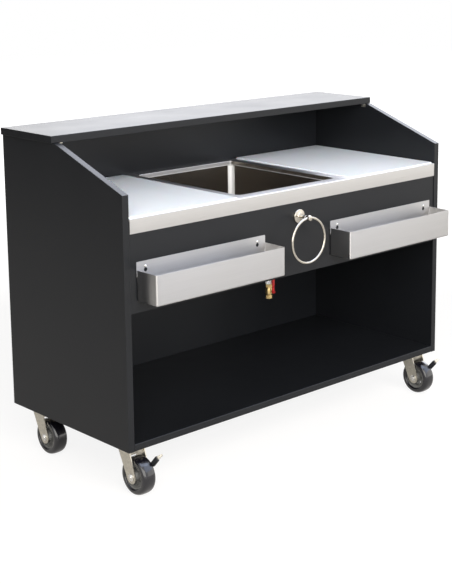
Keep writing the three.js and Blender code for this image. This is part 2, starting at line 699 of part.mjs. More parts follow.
// Six-sided collars at both ends, round necks, and a barrel bored out round the ball.
function valveBody() {
  const bottom = VALVE_TOP - VALVE_LENGTH;
  const barrel = VALVE_BALL_RADIUS + FIT;
  const cavity = turned([
    [0, BALL_HEIGHT - barrel], [barrel, BALL_HEIGHT - barrel], [barrel, BALL_HEIGHT + barrel],
    [0, BALL_HEIGHT + barrel],
  ], COARSE);
  const stemHole = rod(STEM_RADIUS + FIT, 0, STEM_REACH, COARSE, 'bartender');
  const gland = rod(STEM_RADIUS + VALVE_WALL, barrel, STEM_REACH / 2, COARSE, 'bartender');
  return atDrain(rod(VALVE_NECK_RADIUS, bottom, VALVE_TOP, COARSE)
    .add(hexagon(VALVE_COLLAR_RADIUS, bottom, bottom + VALVE_COLLAR_HEIGHT))
    .add(hexagon(VALVE_COLLAR_RADIUS, VALVE_TOP - VALVE_COLLAR_HEIGHT, VALVE_TOP))
    .add(rod(BALL_HOUSING_RADIUS, BALL_HEIGHT - barrel, BALL_HEIGHT + barrel, COARSE))
    .add(gland.translate([0, 0, BALL_HEIGHT]))
    .subtract(cavity)
    .subtract(rod(VALVE_BORE, bottom - OVERRUN, VALVE_TOP + OVERRUN, COARSE))
    .subtract(stemHole.translate([0, 0, BALL_HEIGHT])));
}

function valveBall() {
  const ball = solidOf(new THREE.SphereGeometry(VALVE_BALL_RADIUS, COARSE, SMALL));
  const stem = rod(STEM_RADIUS, 0, STEM_REACH, COARSE, 'bartender');
  const bore = rod(VALVE_BALL_BORE, -2 * VALVE_BALL_RADIUS, 2 * VALVE_BALL_RADIUS, COARSE);
  const clear = rod(VALVE_BALL_BOSS, 0, VALVE_BALL_BOSS_DEPTH, COARSE, 'bartender');
  return atDrain(ball.subtract(bore.subtract(clear)).add(stem).translate([0, 0, BALL_HEIGHT]));
}

// The lever is a strap with a round eye on the stem, standing along the pipe while the valve is open.
function valveLever() {
  const eye = STEM_RADIUS + FIT;
  const outline = new THREE.Shape();
  const half = LEVER_WIDTH / 2;
  outline.absarc(0, 0, half, Math.PI, 2 * Math.PI);
  outline.absarc(0, LEVER_LENGTH - LEVER_GRIP_RADIUS, LEVER_GRIP_RADIUS, 0, Math.PI);
  const back = -LEVER_STAND_OFF;
  const strap = drawnOut(outline, FACING_BARTENDER, back - LEVER_SHEET, back, 0, WIDE_ARC_STEPS);
  const face = LEVER_STAND_OFF + LEVER_SHEET;
  const bore = rod(eye, LEVER_STAND_OFF - OVERRUN, face + OVERRUN, COARSE, 'bartender');
  return atDrain(strap.subtract(bore).translate([0, 0, BALL_HEIGHT]));
}

function leverNut() {
  const from = LEVER_STAND_OFF + LEVER_SHEET + FIT;
  const nut = hexagon(LEVER_NUT_RADIUS, from, STEM_REACH, 'bartender');
  const bore = rod(STEM_RADIUS + FIT, from - OVERRUN, STEM_REACH + OVERRUN, COARSE, 'bartender');
  return atDrain(nut.subtract(bore).translate([0, 0, BALL_HEIGHT]));
}

// Caster pieces are drawn with the swivel axis on the origin and the wheel trailing toward -Y.
const WHEEL_CENTRE = [0, -CASTER_TRAIL, WHEEL_RADIUS];

function casterPlate() {
  const halfX = PLATE_WIDTH / 2;
  const halfY = PLATE_LENGTH / 2;
  const underside = PLATE_TOP - PLATE_THICKNESS;
  const outline = roundedRectangle(-halfX, -halfY, halfX, halfY, PLATE_CORNER);
  const hole = rod(PLATE_BOLT_RADIUS, underside - OVERRUN, PLATE_TOP + OVERRUN, SMALL);
  let plate = drawnOut(outline, FACING_UP, underside, PLATE_TOP);
  [-1, 1].forEach((x) => [-1, 1].forEach((y) => {
    plate = plate.subtract(hole.translate([(x * PLATE_BOLT_WIDTH) / 2, (y * PLATE_BOLT_LENGTH) / 2, 0]));
  }));
  const headTop = CROWN_BOTTOM - FIT;
  const race = turned([
    [0, headTop - KINGPIN_HEAD_HEIGHT], [KINGPIN_FACE_RADIUS, headTop - KINGPIN_HEAD_HEIGHT],
    [KINGPIN_HEAD_RADIUS, headTop - KINGPIN_HEAD_HEIGHT / 2], [KINGPIN_HEAD_RADIUS, headTop],
    [KINGPIN_RADIUS, headTop], [KINGPIN_RADIUS, RACE_BOTTOM], [RACE_RADIUS, RACE_BOTTOM],
    [RACE_RADIUS, underside - RACE_SHOULDER], [RACE_TOP_RADIUS, underside + OVERRUN],
    [0, underside + OVERRUN],
  ], COARSE);
  return plate.add(race);
}

// The angle on a circle where a straight edge from a corner runs into it.
function tangentAngle(corner, centre, radius, turn) {
  const reach = corner.clone().sub(centre);
  return reach.angle() + turn * Math.acos(radius / reach.length());
}

// A slanted leg from the crown down to a round end at the axle.
function forkLeg(side) {
  const axle = new THREE.Vector2(-CASTER_TRAIL, WHEEL_RADIUS);
  const back = new THREE.Vector2(FORK_TOP_BACK, CROWN_TOP);
  const front = new THREE.Vector2(-FORK_TOP_FRONT, CROWN_TOP);
  const start = tangentAngle(front, axle, FORK_END_RADIUS, 1);
  const end = tangentAngle(back, axle, FORK_END_RADIUS, -1);
  const outline = new THREE.Shape();
  outline.moveTo(back.x, back.y);
  outline.lineTo(front.x, front.y);
  outline.absarc(axle.x, axle.y, FORK_END_RADIUS, start, end);
  return drawnOut(outline, FACING_X, side * FORK_HALF, side * (FORK_HALF + FORK_SHEET), 0, WIDE_ARC_STEPS);
}

function fork() {
  const half = FORK_HALF + FORK_SHEET;
  const outline = roundedRectangle(-half, -FORK_TOP_FRONT, half, FORK_TOP_BACK, FORK_SHEET);
  const crown = drawnOut(outline, FACING_UP, CROWN_BOTTOM, CROWN_TOP);
  const kingpin = rod(KINGPIN_RADIUS + FIT, CROWN_BOTTOM - OVERRUN, CROWN_TOP + OVERRUN, COARSE);
  const axle = rod(AXLE_RADIUS + FIT, -half - OVERRUN, half + OVERRUN, COARSE, 'x').translate(WHEEL_CENTRE);
  return forkLeg(-1).add(forkLeg(1)).add(crown).subtract(kingpin).subtract(axle);
}

// Bolt with its six-sided head outside one leg and its nut outside the other leg, or outside the pedal's eye.
function axleBolt(braked) {
  const seat = FORK_HALF + FORK_SHEET + FIT;
  const nutSeat = braked ? seat + PEDAL_SHEET + FIT : seat;
  return rod(AXLE_RADIUS, -seat, nutSeat, COARSE, 'x')
    .add(hexagon(AXLE_HEAD_RADIUS, -seat - AXLE_HEAD_HEIGHT, -seat, 'x'))
    .add(hexagon(AXLE_HEAD_RADIUS, nutSeat, nutSeat + AXLE_HEAD_HEIGHT, 'x'))
    .translate(WHEEL_CENTRE);
}

// A moulded core: long hub, thin pierced web and a rim under the tread.
function wheelCore() {
  const hub = FORK_HALF - RUNNING_GAP;
  const web = WEB_WIDTH / 2;
  const rim = CORE_RIM_WIDTH / 2;
  const outer = TREAD_INNER_RADIUS - 2 * FIT;
  const inner = outer - CORE_RIM_DEPTH;
  const bore = AXLE_RADIUS + RUNNING_GAP;
  const half = [
    [bore, hub], [HUB_RADIUS, hub], [HUB_RADIUS + CORE_DRAFT, web],
    [inner, web], [inner + CORE_DRAFT, rim], [outer, rim],
  ];
  const lower = half.map(([r, x]) => [r, -x]);
  let core = turned([...lower, ...half.slice().reverse(), lower[0]], MIDDLE, 'x');
  const hole = rod(WEB_HOLE_RADIUS, -web - OVERRUN, web + OVERRUN, TINY, 'x');
  const circle = (HUB_RADIUS + inner) / 2;
  for (let i = 0; i < WEB_HOLES; i += 1) {
    const angle = (2 * Math.PI * (i + 0.5)) / WEB_HOLES;
    core = core.subtract(hole.translate([0, circle * Math.cos(angle), circle * Math.sin(angle)]));
  }
  return core.translate(WHEEL_CENTRE);
}

// A round-crowned band of polyurethane cast on the core.
function tread() {
  const half = TREAD_WIDTH / 2;
  const steps = TINY;
  const crown = Array.from({ length: steps + 1 }, (_, i) => {
    const angle = Math.PI * (i / steps - 0.5);
    const rise = (WHEEL_RADIUS - TREAD_SHOULDER) * Math.cos(angle);
    return [TREAD_SHOULDER + rise, half * Math.sin(angle)];
  });
  const foot = CORE_RIM_WIDTH / 2;
  const start = [TREAD_INNER_RADIUS, -foot];
  const section = [start, ...crown, [TREAD_INNER_RADIUS, foot], start];
  return turned(section, FINE, 'x').translate(WHEEL_CENTRE);
}

// Turns a brake piece drawn with its arm along +Y, and sets it on the axle.
function onAxle(solid) {
  return solid.rotate([PEDAL_LEAN, 0, 0]).translate(WHEEL_CENTRE);
}

// A strap outside the fork leg: an eye on the axle bolt, an arm forward and up, and a toe bent outward.
function brakePedal() {
  const inner = FORK_HALF + FORK_SHEET + FIT;
  const middle = inner + PEDAL_SHEET / 2;
  const half = PEDAL_WIDTH / 2;
  const path = [[middle, 0], [middle, PEDAL_ARM], [middle + PEDAL_TOE_OUT, PEDAL_ARM + PEDAL_TOE_RISE]];
  const arm = drawnOut(strip(path, PEDAL_SHEET), FACING_UP, -half, half);
  const eye = rod(PEDAL_EYE_RADIUS, inner, inner + PEDAL_SHEET, MIDDLE, 'x');
  const bore = rod(AXLE_RADIUS + FIT, inner - OVERRUN, inner + PEDAL_SHEET + OVERRUN, COARSE, 'x');
  return onAxle(arm.add(eye).subtract(bore));
}

// A moulded sleeve round the pedal's arm, short of its toe.
function brakePad() {
  const inner = FORK_HALF + FORK_SHEET + FIT;
  const half = PEDAL_WIDTH / 2 + FIT;
  const end = PAD_FROM_AXLE + PAD_LENGTH;
  const outside = half + PAD_THICKNESS;
  const sleeve = block(
    point(inner - FIT - PAD_THICKNESS, PAD_FROM_AXLE, -outside),
    point(inner + PEDAL_SHEET + FIT + PAD_THICKNESS, end, outside),
  );
  const slot = block(
    point(inner - FIT, PAD_FROM_AXLE - OVERRUN, -half),
    point(inner + PEDAL_SHEET + FIT, end + OVERRUN, half),
  );
  return onAxle(sleeve.subtract(slot));
}

function caster(name, x, y, braked) {
  const group = new THREE.Group();
  group.position.set(x, y, 0);
  group.add(mesh(`${name}_caster_plate`, casterPlate(), 'zinc'));
  group.add(mesh(`${name}_caster_fork`, fork(), 'zinc'));
  group.add(mesh(`${name}_axle_bolt`, axleBolt(braked), 'zinc'));
  group.add(mesh(`${name}_wheel_core`, wheelCore(), 'core'));
  group.add(mesh(`${name}_wheel_tread`, tread(), 'tread'));
  if (braked) {
    group.add(mesh(`${name}_brake_pedal`, brakePedal(), 'zinc'));
    group.add(mesh(`${name}_brake_pad`, brakePad(), 'rubber'));
  }
  return group;
}

const bar = new THREE.Group();
bar.position.y = -OUTLINE_MIDDLE;

Object.entries(SIDES).forEach(([name, side]) => {
  bar.add(mesh(`${name}_side_panel`, sidePanel(side), 'laminate'));
  bar.add(mesh(`${name}_worktop_cleat`, sideCleat(side), 'batten'));
  bar.add(mesh(`${name}_top_bracket`, topBracket(side), 'zinc'));
  bar.add(mesh(`${name}_cutting_board`, cuttingBoard(side), 'polyethylene'));
  bar.add(mesh(`${name}_speed_rail`, speedRail(side), 'stainless'));
  const x = side * (HALF_WIDTH - CASTER_FROM_SIDE);
  bar.add(caster(`front_${name}`, x, FRONT + CASTER_FROM_FRONT, true));
  bar.add(caster(`rear_${name}`, x, BACK - CASTER_FROM_BACK, false));
});

screwPlaces().forEach((x, i) => {
  bar.add(mesh(`rail_screw_${i + 1}`, railScrew().translate([x, 0, 0]), 'zinc'));
});

bar.add(mesh('back_panel', panelBetweenSides(BACK_INSIDE, BACK, BASE, SIDE_TOP), 'laminate'));
bar.add(mesh('bottom_shelf', panelBetweenSides(FRONT, BACK_INSIDE - FIT, BASE, BASE + PANEL), 'laminate'));
bar.add(mesh('apron_panel', apron(), 'laminate'));
bar.add(mesh('bar_top', barTop(), 'laminate'));
bar.add(mesh('back_worktop_cleat', backCleat(), 'batten'));
bar.add(mesh('worktop', worktop(), 'stainless'));
bar.add(mesh('sink_bowl', sinkBowl(), 'stainless'));
bar.add(mesh('drain_body', drainBody(), 'stainless'));
bar.add(mesh('drain_strainer', drainStrainer(), 'stainless'));
bar.add(mesh('drain_locknut', drainLocknut(), 'brass'));
bar.add(mesh('drain_tailpiece', tailpiece(), 'nickel'));
bar.add(mesh('valve_inlet_nut', inletNut(), 'nylon'));
bar.add(mesh('valve_body', valveBody(), 'brass'));
bar.add(mesh('valve_ball_stem', valveBall(), 'nickel'));
bar.add(mesh('valve_lever', valveLever(), 'vinyl'));
bar.add(mesh('valve_lever_nut', leverNut(), 'zinc'));
bar.add(mesh('towel_rose', towelRose(), 'nickel'));
bar.add(mesh('towel_post', towelPost(), 'nickel'));
bar.add(mesh('towel_ring', towelRing(), 'nickel'));

export default bar;
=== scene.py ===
"""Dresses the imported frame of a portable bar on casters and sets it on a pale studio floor."""

import json
import math

import bmesh
import bpy
from mathutils import Matrix, Vector


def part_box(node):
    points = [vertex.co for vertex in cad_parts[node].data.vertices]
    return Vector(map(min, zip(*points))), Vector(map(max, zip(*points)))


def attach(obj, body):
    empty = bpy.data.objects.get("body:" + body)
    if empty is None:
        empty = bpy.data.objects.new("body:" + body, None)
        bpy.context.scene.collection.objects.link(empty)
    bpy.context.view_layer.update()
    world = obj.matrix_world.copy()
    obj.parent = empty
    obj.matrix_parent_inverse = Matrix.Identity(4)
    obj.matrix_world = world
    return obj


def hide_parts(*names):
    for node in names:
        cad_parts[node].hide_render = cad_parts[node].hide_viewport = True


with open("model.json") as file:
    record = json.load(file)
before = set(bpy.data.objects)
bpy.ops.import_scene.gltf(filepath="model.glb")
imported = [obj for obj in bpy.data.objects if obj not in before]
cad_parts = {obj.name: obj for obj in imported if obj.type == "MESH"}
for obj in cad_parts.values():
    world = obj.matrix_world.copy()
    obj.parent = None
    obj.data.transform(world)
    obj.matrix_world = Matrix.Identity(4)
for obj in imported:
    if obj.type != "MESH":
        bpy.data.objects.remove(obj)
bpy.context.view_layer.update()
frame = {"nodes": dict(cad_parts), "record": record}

bl_info = {
    "name": "Portable Bar",
    "version": (1, 0, 0),
    "blender": (4, 5, 0),
    "location": "View3D > Sidebar > Bar",
    "description": "Builds the finished pieces of a portable bar over its packed frame",
    "category": "Object",
}

MM = 0.001
CORNERS = ("front_left", "front_right", "rear_left", "rear_right")
ALONG_X = Matrix.Rotation(math.radians(90), 4, "Y")
TO_BARTENDER = Matrix.Rotation(math.radians(90), 4, "X")
UP = Matrix.Identity(4)
DOWN = Matrix.Rotation(math.pi, 4, "X")
FACING_X = Matrix(((0, 0, 1, 0), (1, 0, 0, 0), (0, 1, 0, 0), (0, 0, 0, 1)))
ZINC = "zinc_plated_steel"
STEEL = "stainless_steel"
NICKEL = "brushed_nickel"


def linear(hex_colour):
    """sRGB hex colour as linear red, green and blue."""
    parts = [int(hex_colour[i:i + 2], 16) / 255 for i in (1, 3, 5)]
    return tuple(c / 12.92 if c <= 0.04045 else ((c + 0.055) / 1.055) ** 2.4 for c in parts)


def colour(name, hex_colour):
    """A colour that a user would change."""
    return bpy.props.FloatVectorProperty(
        name=name, description=f"Colour of the {name.lower()}", subtype="COLOR",
        size=3, min=0.0, max=1.0, default=linear(hex_colour),
    )


def length(name, description, millimetres):
    """A length that a user would change."""
    return bpy.props.FloatProperty(
        name=name, description=description, default=millimetres * MM, min=0.0,
        subtype="DISTANCE", unit="LENGTH",
    )


class BarFinishes(bpy.types.PropertyGroup):
    """Colours of the bar's materials."""

    laminate: colour("Laminate", "#18191b")
    batten: colour("Battens", "#1c1b1a")
    stainless: colour("Stainless steel", "#d3d1cf")
    # Darker than the stainless sheet: painted shade for the deep bowl and the flanks turned down beside the
    # sink.
    bowl: colour("Sink bowl", "#b3aca3")
    board: colour("Cutting boards", "#eef2f6")
    zinc: colour("Zinc plate", "#dcd6c8")
    # Also the colour of the painted highlight in the bowl's corners and on the seam under the sink's edge.
    bolt: colour("Bright bolts", "#f3f1ec")
    nickel: colour("Brushed nickel", "#d3cdc1")
    brass: colour("Brass", "#f0d294")
    nylon: colour("White nylon", "#fbf6ec")
    lever: colour("Lever dip", "#b01a17")
    tread: colour("Treads", "#0f0e13")
    core: colour("Wheel cores", "#6c6b67")
    pad: colour("Lever sleeves", "#1a1b1d")
    floor: colour("Floor", "#b2ada5")


class BarSizes(bpy.types.PropertyGroup):
    """Small sizes of the finished pieces."""

    sheet: length("Sheet", "Thickness of the stainless sheet", 1.5)
    fold: length("Fold", "Outside radius of a fold in the worktop", 2.5)
    edge_band: length("Edge band", "Round of the plastic band on the shelf's front edge", 3)
    lip: length("Lip", "Width of the lip in front of a cutting board", 5)
    pan: length("Pan depth", "Depth of the pan under a cutting board", 9)
    deck: length("Deck", "Width of the deck between the two pans", 550)
    sink_width: length("Sink width", "Width of the sink opening", 470)
    sink_run: length("Sink run", "Front to back size of the sink opening", 560)
    sink_corner: length("Sink corner", "Corner radius of the sink opening", 18)
    sink_edge: length("Sink edge", "Depth of the turned-down edge of the sink opening", 17)
    board_corner: length("Board corner", "Corner radius of a cutting board", 8)
    rail_bend: length("Rail bend", "Radius of the speed rails' bends", 6)
    tube: length("Ring tube", "Diameter of the towel ring's rod", 9)


def finishes():
    return bpy.context.scene.bar_finishes


def sizes():
    return bpy.context.scene.bar_sizes


# Materials


def add(tree, kind, inputs=None, **settings):
    """Adds one node, sets it, and sets or links its inputs."""
    made = tree.nodes.new(kind)
    for key, value in settings.items():
        setattr(made, key, value)
    for key, value in (inputs or {}).items():
        if isinstance(value, bpy.types.NodeSocket):
            tree.links.new(value, made.inputs[key])
        else:
            made.inputs[key].default_value = value
    return made


def surface(name, base, **sockets):
    """A new material with one shader: the material, its node tree, the shader and object coordinates."""
    made = bpy.data.materials.new(name)
    made.use_nodes = True
    tree = made.node_tree
    shader = tree.nodes["Principled BSDF"]
    shader.inputs["Base Color"].default_value = (*base, 1.0)
    for key, value in sockets.items():
        shader.inputs[key.replace("_", " ")].default_value = value
    place = add(tree, "ShaderNodeTexCoord")
    return made, tree, shader, place.outputs["Object"]


def tint(tree, shader, factor, base, low, high):
    """Varies the base colour between two shades by a factor."""
    darker = (*[c * low for c in base], 1.0)
    lighter = (*[min(c * high, 1.0) for c in base], 1.0)
    mixed = add(tree, "ShaderNodeMix", {0: factor, 6: darker, 7: lighter}, data_type="RGBA")
    tree.links.new(mixed.outputs[2], shader.inputs["Base Color"])


def gloss(tree, shader, factor, low, high):
    """Varies the roughness between two values by a factor."""
    ranged = add(tree, "ShaderNodeMapRange", {"Value": factor, "To Min": low, "To Max": high})
    tree.links.new(ranged.outputs["Result"], shader.inputs["Roughness"])


def relief(tree, shader, height, strength, depth):
    """Presses a height pattern into the surface, to a depth in millimetres."""
    bump = add(tree, "ShaderNodeBump", {"Height": height, "Strength": strength, "Distance": depth * MM})
    tree.links.new(bump.outputs["Normal"], shader.inputs["Normal"])


def noise(tree, place, grain, detail, **inputs):
    """A cloudy pattern with a grain of a given size in millimetres."""
    values = {"Vector": place, "Scale": 1 / (grain * MM), "Detail": detail, **inputs}
    return add(tree, "ShaderNodeTexNoise", values).outputs["Fac"]


def drawn_out(tree, place, share, turn=0.0):
    """Coordinates that draw a pattern out into lines along X, turned about Z."""
    values = {"Vector": place, "Rotation": (0, 0, turn), "Scale": (share, 1.0, 1.0)}
    return add(tree, "ShaderNodeMapping", values).outputs[0]


def black_laminate():
    # High-pressure laminate pressed on a fine-grained plate: deep black with a satin sheen that turns
    # pale at a low angle, and faint cloudy rubbing. The 0.8 mm grain is drawn at 2.5 mm so that it shows.
    base = finishes().laminate
    made, tree, shader, place = surface(
        "black_pressed_laminate", base, Roughness=0.34, Specular_IOR_Level=0.33,
    )
    grain, cloud = noise(tree, place, 2.5, 3.0), noise(tree, place, 160, 5.0)
    tint(tree, shader, cloud, base, 0.86, 1.16)
    gloss(tree, shader, cloud, 0.28, 0.4)
    relief(tree, shader, grain, 0.12, 0.2)
    return made


def painted_batten():
    # Planed softwood under thin black paint: the grain still shows as long shallow lines, 4 mm apart.
    base = finishes().batten
    made, tree, shader, place = surface("painted_softwood", base, Roughness=0.6)
    grain = noise(tree, drawn_out(tree, place, 0.06), 4, 4.0)
    tint(tree, shader, grain, base, 0.75, 1.3)
    relief(tree, shader, grain, 0.3, 0.4)
    return made


def brushed_metal(name, finish_name, roughness, line, run, strength, spread, axis="X", turn=0.0, metal=1.0):
    """A brushed metal: lines of a given width and length along X, and highlights spread about an axis."""
    base = getattr(finishes(), finish_name)
    made, tree, shader, place = surface(
        name, base, Metallic=metal, Roughness=roughness, Anisotropic=spread, Anisotropic_Rotation=turn,
    )
    across = add(tree, "ShaderNodeTangent", direction_type="RADIAL", axis=axis)
    tree.links.new(across.outputs["Tangent"], shader.inputs["Tangent"])
    lines = noise(tree, drawn_out(tree, place, line / run), line, 4.0, Roughness=0.7)
    handled = noise(tree, place, 120, 3.0)
    tint(tree, shader, lines, base, 0.9, 1.07)
    mixed = add(tree, "ShaderNodeMix", {0: 0.35, 2: lines, 3: handled})
    gloss(tree, shader, mixed.outputs[0], roughness * 0.72, roughness * 1.28)
    relief(tree, shader, lines, strength, 0.1)
    return made


def zinc():
    # Zinc plate on pressed steel: slightly yellow, with 5 mm cloudy patches and small scuffs.
    base = finishes().zinc
    made, tree, shader, place = surface("pressed_steel_zinc_plate", base, Metallic=1.0, Roughness=0.34)
    patches = add(tree, "ShaderNodeTexVoronoi", {"Vector": place, "Scale": 1 / (5 * MM)})
    scuffs = noise(tree, place, 3, 5.0)
    tint(tree, shader, patches.outputs["Color"], base, 0.84, 1.08)
    gloss(tree, shader, scuffs, 0.22, 0.46)
    relief(tree, shader, scuffs, 0.08, 0.2)
    return made


def brass():
    # Turned and tumbled brass: warm yellow, cloudy, with turning lines 1.3 mm apart round the pipe.
    base = finishes().brass
    made, tree, shader, place = surface("turned_brass", base, Metallic=1.0, Roughness=0.3)
    dull = noise(tree, place, 9, 4.0)
    lines = {"Vector": place, "Scale": 1 / (4 * MM), "Distortion": 1.0}
    turning = add(tree, "ShaderNodeTexWave", lines, bands_direction="Z")
    tint(tree, shader, dull, base, 0.72, 1.12)
    gloss(tree, shader, dull, 0.2, 0.42)
    relief(tree, shader, turning.outputs["Fac"], 0.06, 0.1)
    return made


def cutting_board():
    # High-density polyethylene planed to a fine matt: waxy white with a little light under the surface,
    # a 1.5 mm pebble and faint knife lines, long and slanted.
    base = finishes().board
    made, tree, shader, place = surface(
        "planed_polyethylene", base, Roughness=0.62, IOR=1.53, Specular_IOR_Level=0.05,
        Subsurface_Weight=0.08, Subsurface_Scale=0.004,
    )
    pebble = noise(tree, place, 1.5, 2.0)
    knife = noise(tree, drawn_out(tree, place, 0.03, 0.6), 3, 5.0)
    cuts = {"Value": knife, "From Min": 0.62, "From Max": 0.72, "To Max": 0.5}
    marks = add(tree, "ShaderNodeMapRange", cuts)
    tint(tree, shader, marks.outputs["Result"], base, 1.0, 0.95)
    gloss(tree, shader, pebble, 0.55, 0.7)
    relief(tree, shader, pebble, 0.1, 0.15)
    return made


def moulded(name, finish_name, low, high, grain, sockets):
    """A moulded plastic or rubber: one colour with a slight bloom and a fine grain of a given size."""
    base = getattr(finishes(), finish_name)
    made, tree, shader, place = surface(name, base, Roughness=(low + high) / 2, **sockets)
    fine, bloom = noise(tree, place, grain, 3.0), noise(tree, place, 25, 4.0)
    tint(tree, shader, bloom, base, 0.85, 1.2)
    gloss(tree, shader, bloom, low, high)
    relief(tree, shader, fine, 0.08, 0.15)
    return made


# Brushed metals by slot or look: material, colour, roughness, width and length of the lines in millimetres,
# relief and spread; then, where they differ, the axis and turn of the spread and the share of metal.
BRUSHED = {
    # Stainless sheet with a number four brushed finish: fine lines along the sheet spread each highlight
    # across them. Lines of 0.2 mm are drawn at 1.2 mm so that they show.
    STEEL: ("brushed_stainless_sheet", "stainless", 0.38, 1.2, 260.0, 0.1, 0.85, "Z", 0.25),
    # The worktop's sheet, rubbed smoother by use than the rails: it still mirrors what stands behind it.
    "worn_deck": ("worn_stainless_deck", "stainless", 0.3, 1.2, 260.0, 0.06, 0.55),
    # Stainless sheet drawn into a bowl and polished: smoother than the worktop, so its walls mirror each
    # other and go dark. Its colour is darker than the sheet's, painted shade for the deep bowl, and its
    # round corners carry a painted highlight below. Polishing lines are drawn at 1 mm.
    "drawn_bowl": ("drawn_stainless_bowl", "bowl", 0.2, 1.0, 120.0, 0.03, 0.5, "Z", 0.25),
    # Painted highlight for the bowl's corners and the seam under the sink's edge: a near-white steel, rough
    # and only half metal, so half of its light is scattered and it shines in the dark bowl.
    "corner_highlight_paint": ("dressed_stainless_corner", "bolt", 0.5, 1.0, 10.0, 0.1, 0.9, "Z", 0.25, 0.5),
    # The worktop's sheet where it turns down beside the sink: its lines now run down, so it mirrors the
    # dark bowl instead of the bright room. It takes the bowl's darker colour too: painted shade.
    "turned_flank": ("turned_stainless_flank", "bowl", 0.28, 1.2, 260.0, 0.06, 0.7, "Z", 0.0),
    # Bolts and nuts with a bright zinc plate: smoother and whiter than the pressed caster steel.
    "bright_bolt": ("bright_zinc_plate", "bolt", 0.26, 0.8, 6.0, 0.05, 0.0),
    # Satin nickel plate: warm, soft highlights with faint turning lines, drawn at 0.8 mm.
    NICKEL: ("satin_nickel_plate", "nickel", 0.2, 0.8, 30.0, 0.05, 0.0),
}

# Moulded plastics and rubber by slot: material, colour, lowest and highest roughness, grain in millimetres
# and other values of the shader.
MOULDED = {
    # Cast polyurethane: near black with a violet cast, glossy from its mould, dulled where it rolls.
    "black_polyurethane": (
        "cast_polyurethane", "tread", 0.14, 0.28, 2.0, {"IOR": 1.52, "Coat_Weight": 0.9},
    ),
    # Glass-filled nylon: mid grey, dry and even, with a 1 mm moulded grain.
    "grey_nylon": ("glass_filled_nylon", "core", 0.42, 0.58, 1.0, {}),
    # Natural nylon: creamy white and slightly waxy.
    "white_nylon": (
        "natural_nylon", "nylon", 0.38, 0.5, 1.0, {"Subsurface_Weight": 0.1, "Subsurface_Scale": 0.002},
    ),
    # Dipped vinyl: a thick glossy red skin with soft edges.
    "red_vinyl": ("dipped_vinyl", "lever", 0.22, 0.36, 3.0, {}),
    # Moulded rubber: black, dry, with a 1.5 mm grain.
    "black_rubber": ("moulded_rubber", "pad", 0.5, 0.7, 1.5, {}),
}

PATTERNED = {
    "laminated_board": black_laminate, "black_batten": painted_batten, "white_polyethylene": cutting_board,
    ZINC: zinc, "brass": brass,
}
made_materials = {}


def material(slot):
    """The material of one of the record's slots, or of a look within a slot, made once."""
    if slot not in made_materials:
        if slot in BRUSHED:
            made = brushed_metal(*BRUSHED[slot])
        elif slot in MOULDED:
            made = moulded(*MOULDED[slot])
        else:
            made = PATTERNED[slot]()
        made_materials[slot] = made
    return made_materials[slot]


# Mesh building. All sizes inside a mesh are in millimetres until the piece is finished.

SAME_PLACE = 1e-4


def finish(name, mesh, slot, stands_for=(), body="cabinet", bevel=0.0, place=(0, 0, 0), angle=35, look=None):
    """Turns a mesh in millimetres into a finished piece that rides on a body."""
    bmesh.ops.remove_doubles(mesh, verts=mesh.verts, dist=SAME_PLACE)
    bmesh.ops.recalc_face_normals(mesh, faces=mesh.faces)
    bmesh.ops.translate(mesh, verts=mesh.verts, vec=Vector(place))
    bmesh.ops.scale(mesh, verts=mesh.verts, vec=(MM, MM, MM))
    data = bpy.data.meshes.new(name)
    mesh.to_mesh(data)
    mesh.free()
    data.polygons.foreach_set("use_smooth", [True] * len(data.polygons))
    data.set_sharp_from_angle(angle=math.radians(angle))
    data.materials.append(material(look or slot))
    made = bpy.data.objects.new(name, data)
    bpy.context.scene.collection.objects.link(made)
    if bevel:
        sharpest_kept, eased_steps = 40, 2
        edge = made.modifiers.new("eased edges", "BEVEL")
        edge.width = bevel * MM
        edge.segments = eased_steps
        edge.limit_method = "ANGLE"
        edge.angle_limit = math.radians(sharpest_kept)
        edge.harden_normals = True
    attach(made, body)
    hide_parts(*stands_for)


def box_mm(node):
    """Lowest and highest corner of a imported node, in millimetres."""
    low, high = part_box(node)
    return low / MM, high / MM


def middle_mm(node):
    """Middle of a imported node's box, in millimetres."""
    low, high = box_mm(node)
    return (low + high) / 2


def skin(mesh, loops, wrap=False):
    """Faces between loops of equal counts or single points; wrap joins the last loop to the first."""
    pairs = list(zip(loops, loops[1:]))
    if wrap:
        pairs.append((loops[-1], loops[0]))
    for lower, upper in pairs:
        count = max(len(lower), len(upper))
        for i in range(count):
            a, b = lower[i % len(lower)], lower[(i + 1) % len(lower)]
            c, d = upper[(i + 1) % len(upper)], upper[i % len(upper)]
            corners = list(dict.fromkeys((a, b, c, d)))
            mesh.faces.new(corners)


def strip(mesh, loops):
    """A closed bar between open loops of equal vertex counts, with flat ends."""
    for lower, upper in zip(loops, loops[1:] + loops[:1]):
        for i in range(len(lower) - 1):
            mesh.faces.new((lower[i], lower[i + 1], upper[i + 1], upper[i]))
    mesh.faces.new([line[0] for line in loops])
    mesh.faces.new([line[-1] for line in loops])


def loop(mesh, points):
    return [mesh.verts.new(p) for p in points]


def level(mesh, points, z):
    """A loop of plane points at one height."""
    return loop(mesh, [(x, y, z) for x, y in points])


def around(radius, count, start=0.0):
    """Points evenly spaced on a circle; start moves them all on by a share of the spacing."""
    turns = [math.tau * (i + start) / count for i in range(count)]
    return [(radius * math.cos(t), radius * math.sin(t)) for t in turns]


def arc(centre, radius, start, end, steps):
    """Points on a circle between two angles in degrees."""
    turns = [math.radians(start + (end - start) * i / steps) for i in range(steps + 1)]
    return [(centre[0] + radius * math.cos(t), centre[1] + radius * math.sin(t)) for t in turns]


def circle(radius, steps=24, x=0.0, y=0.0):
    return [(x + across, y + up) for across, up in around(radius, steps)]


def hexagon(radius):
    return around(radius, 6)


def shrunk(rectangle, by):
    """A rectangle with each side moved inward."""
    x0, y0, x1, y1 = rectangle
    return x0 + by, y0 + by, x1 - by, y1 - by


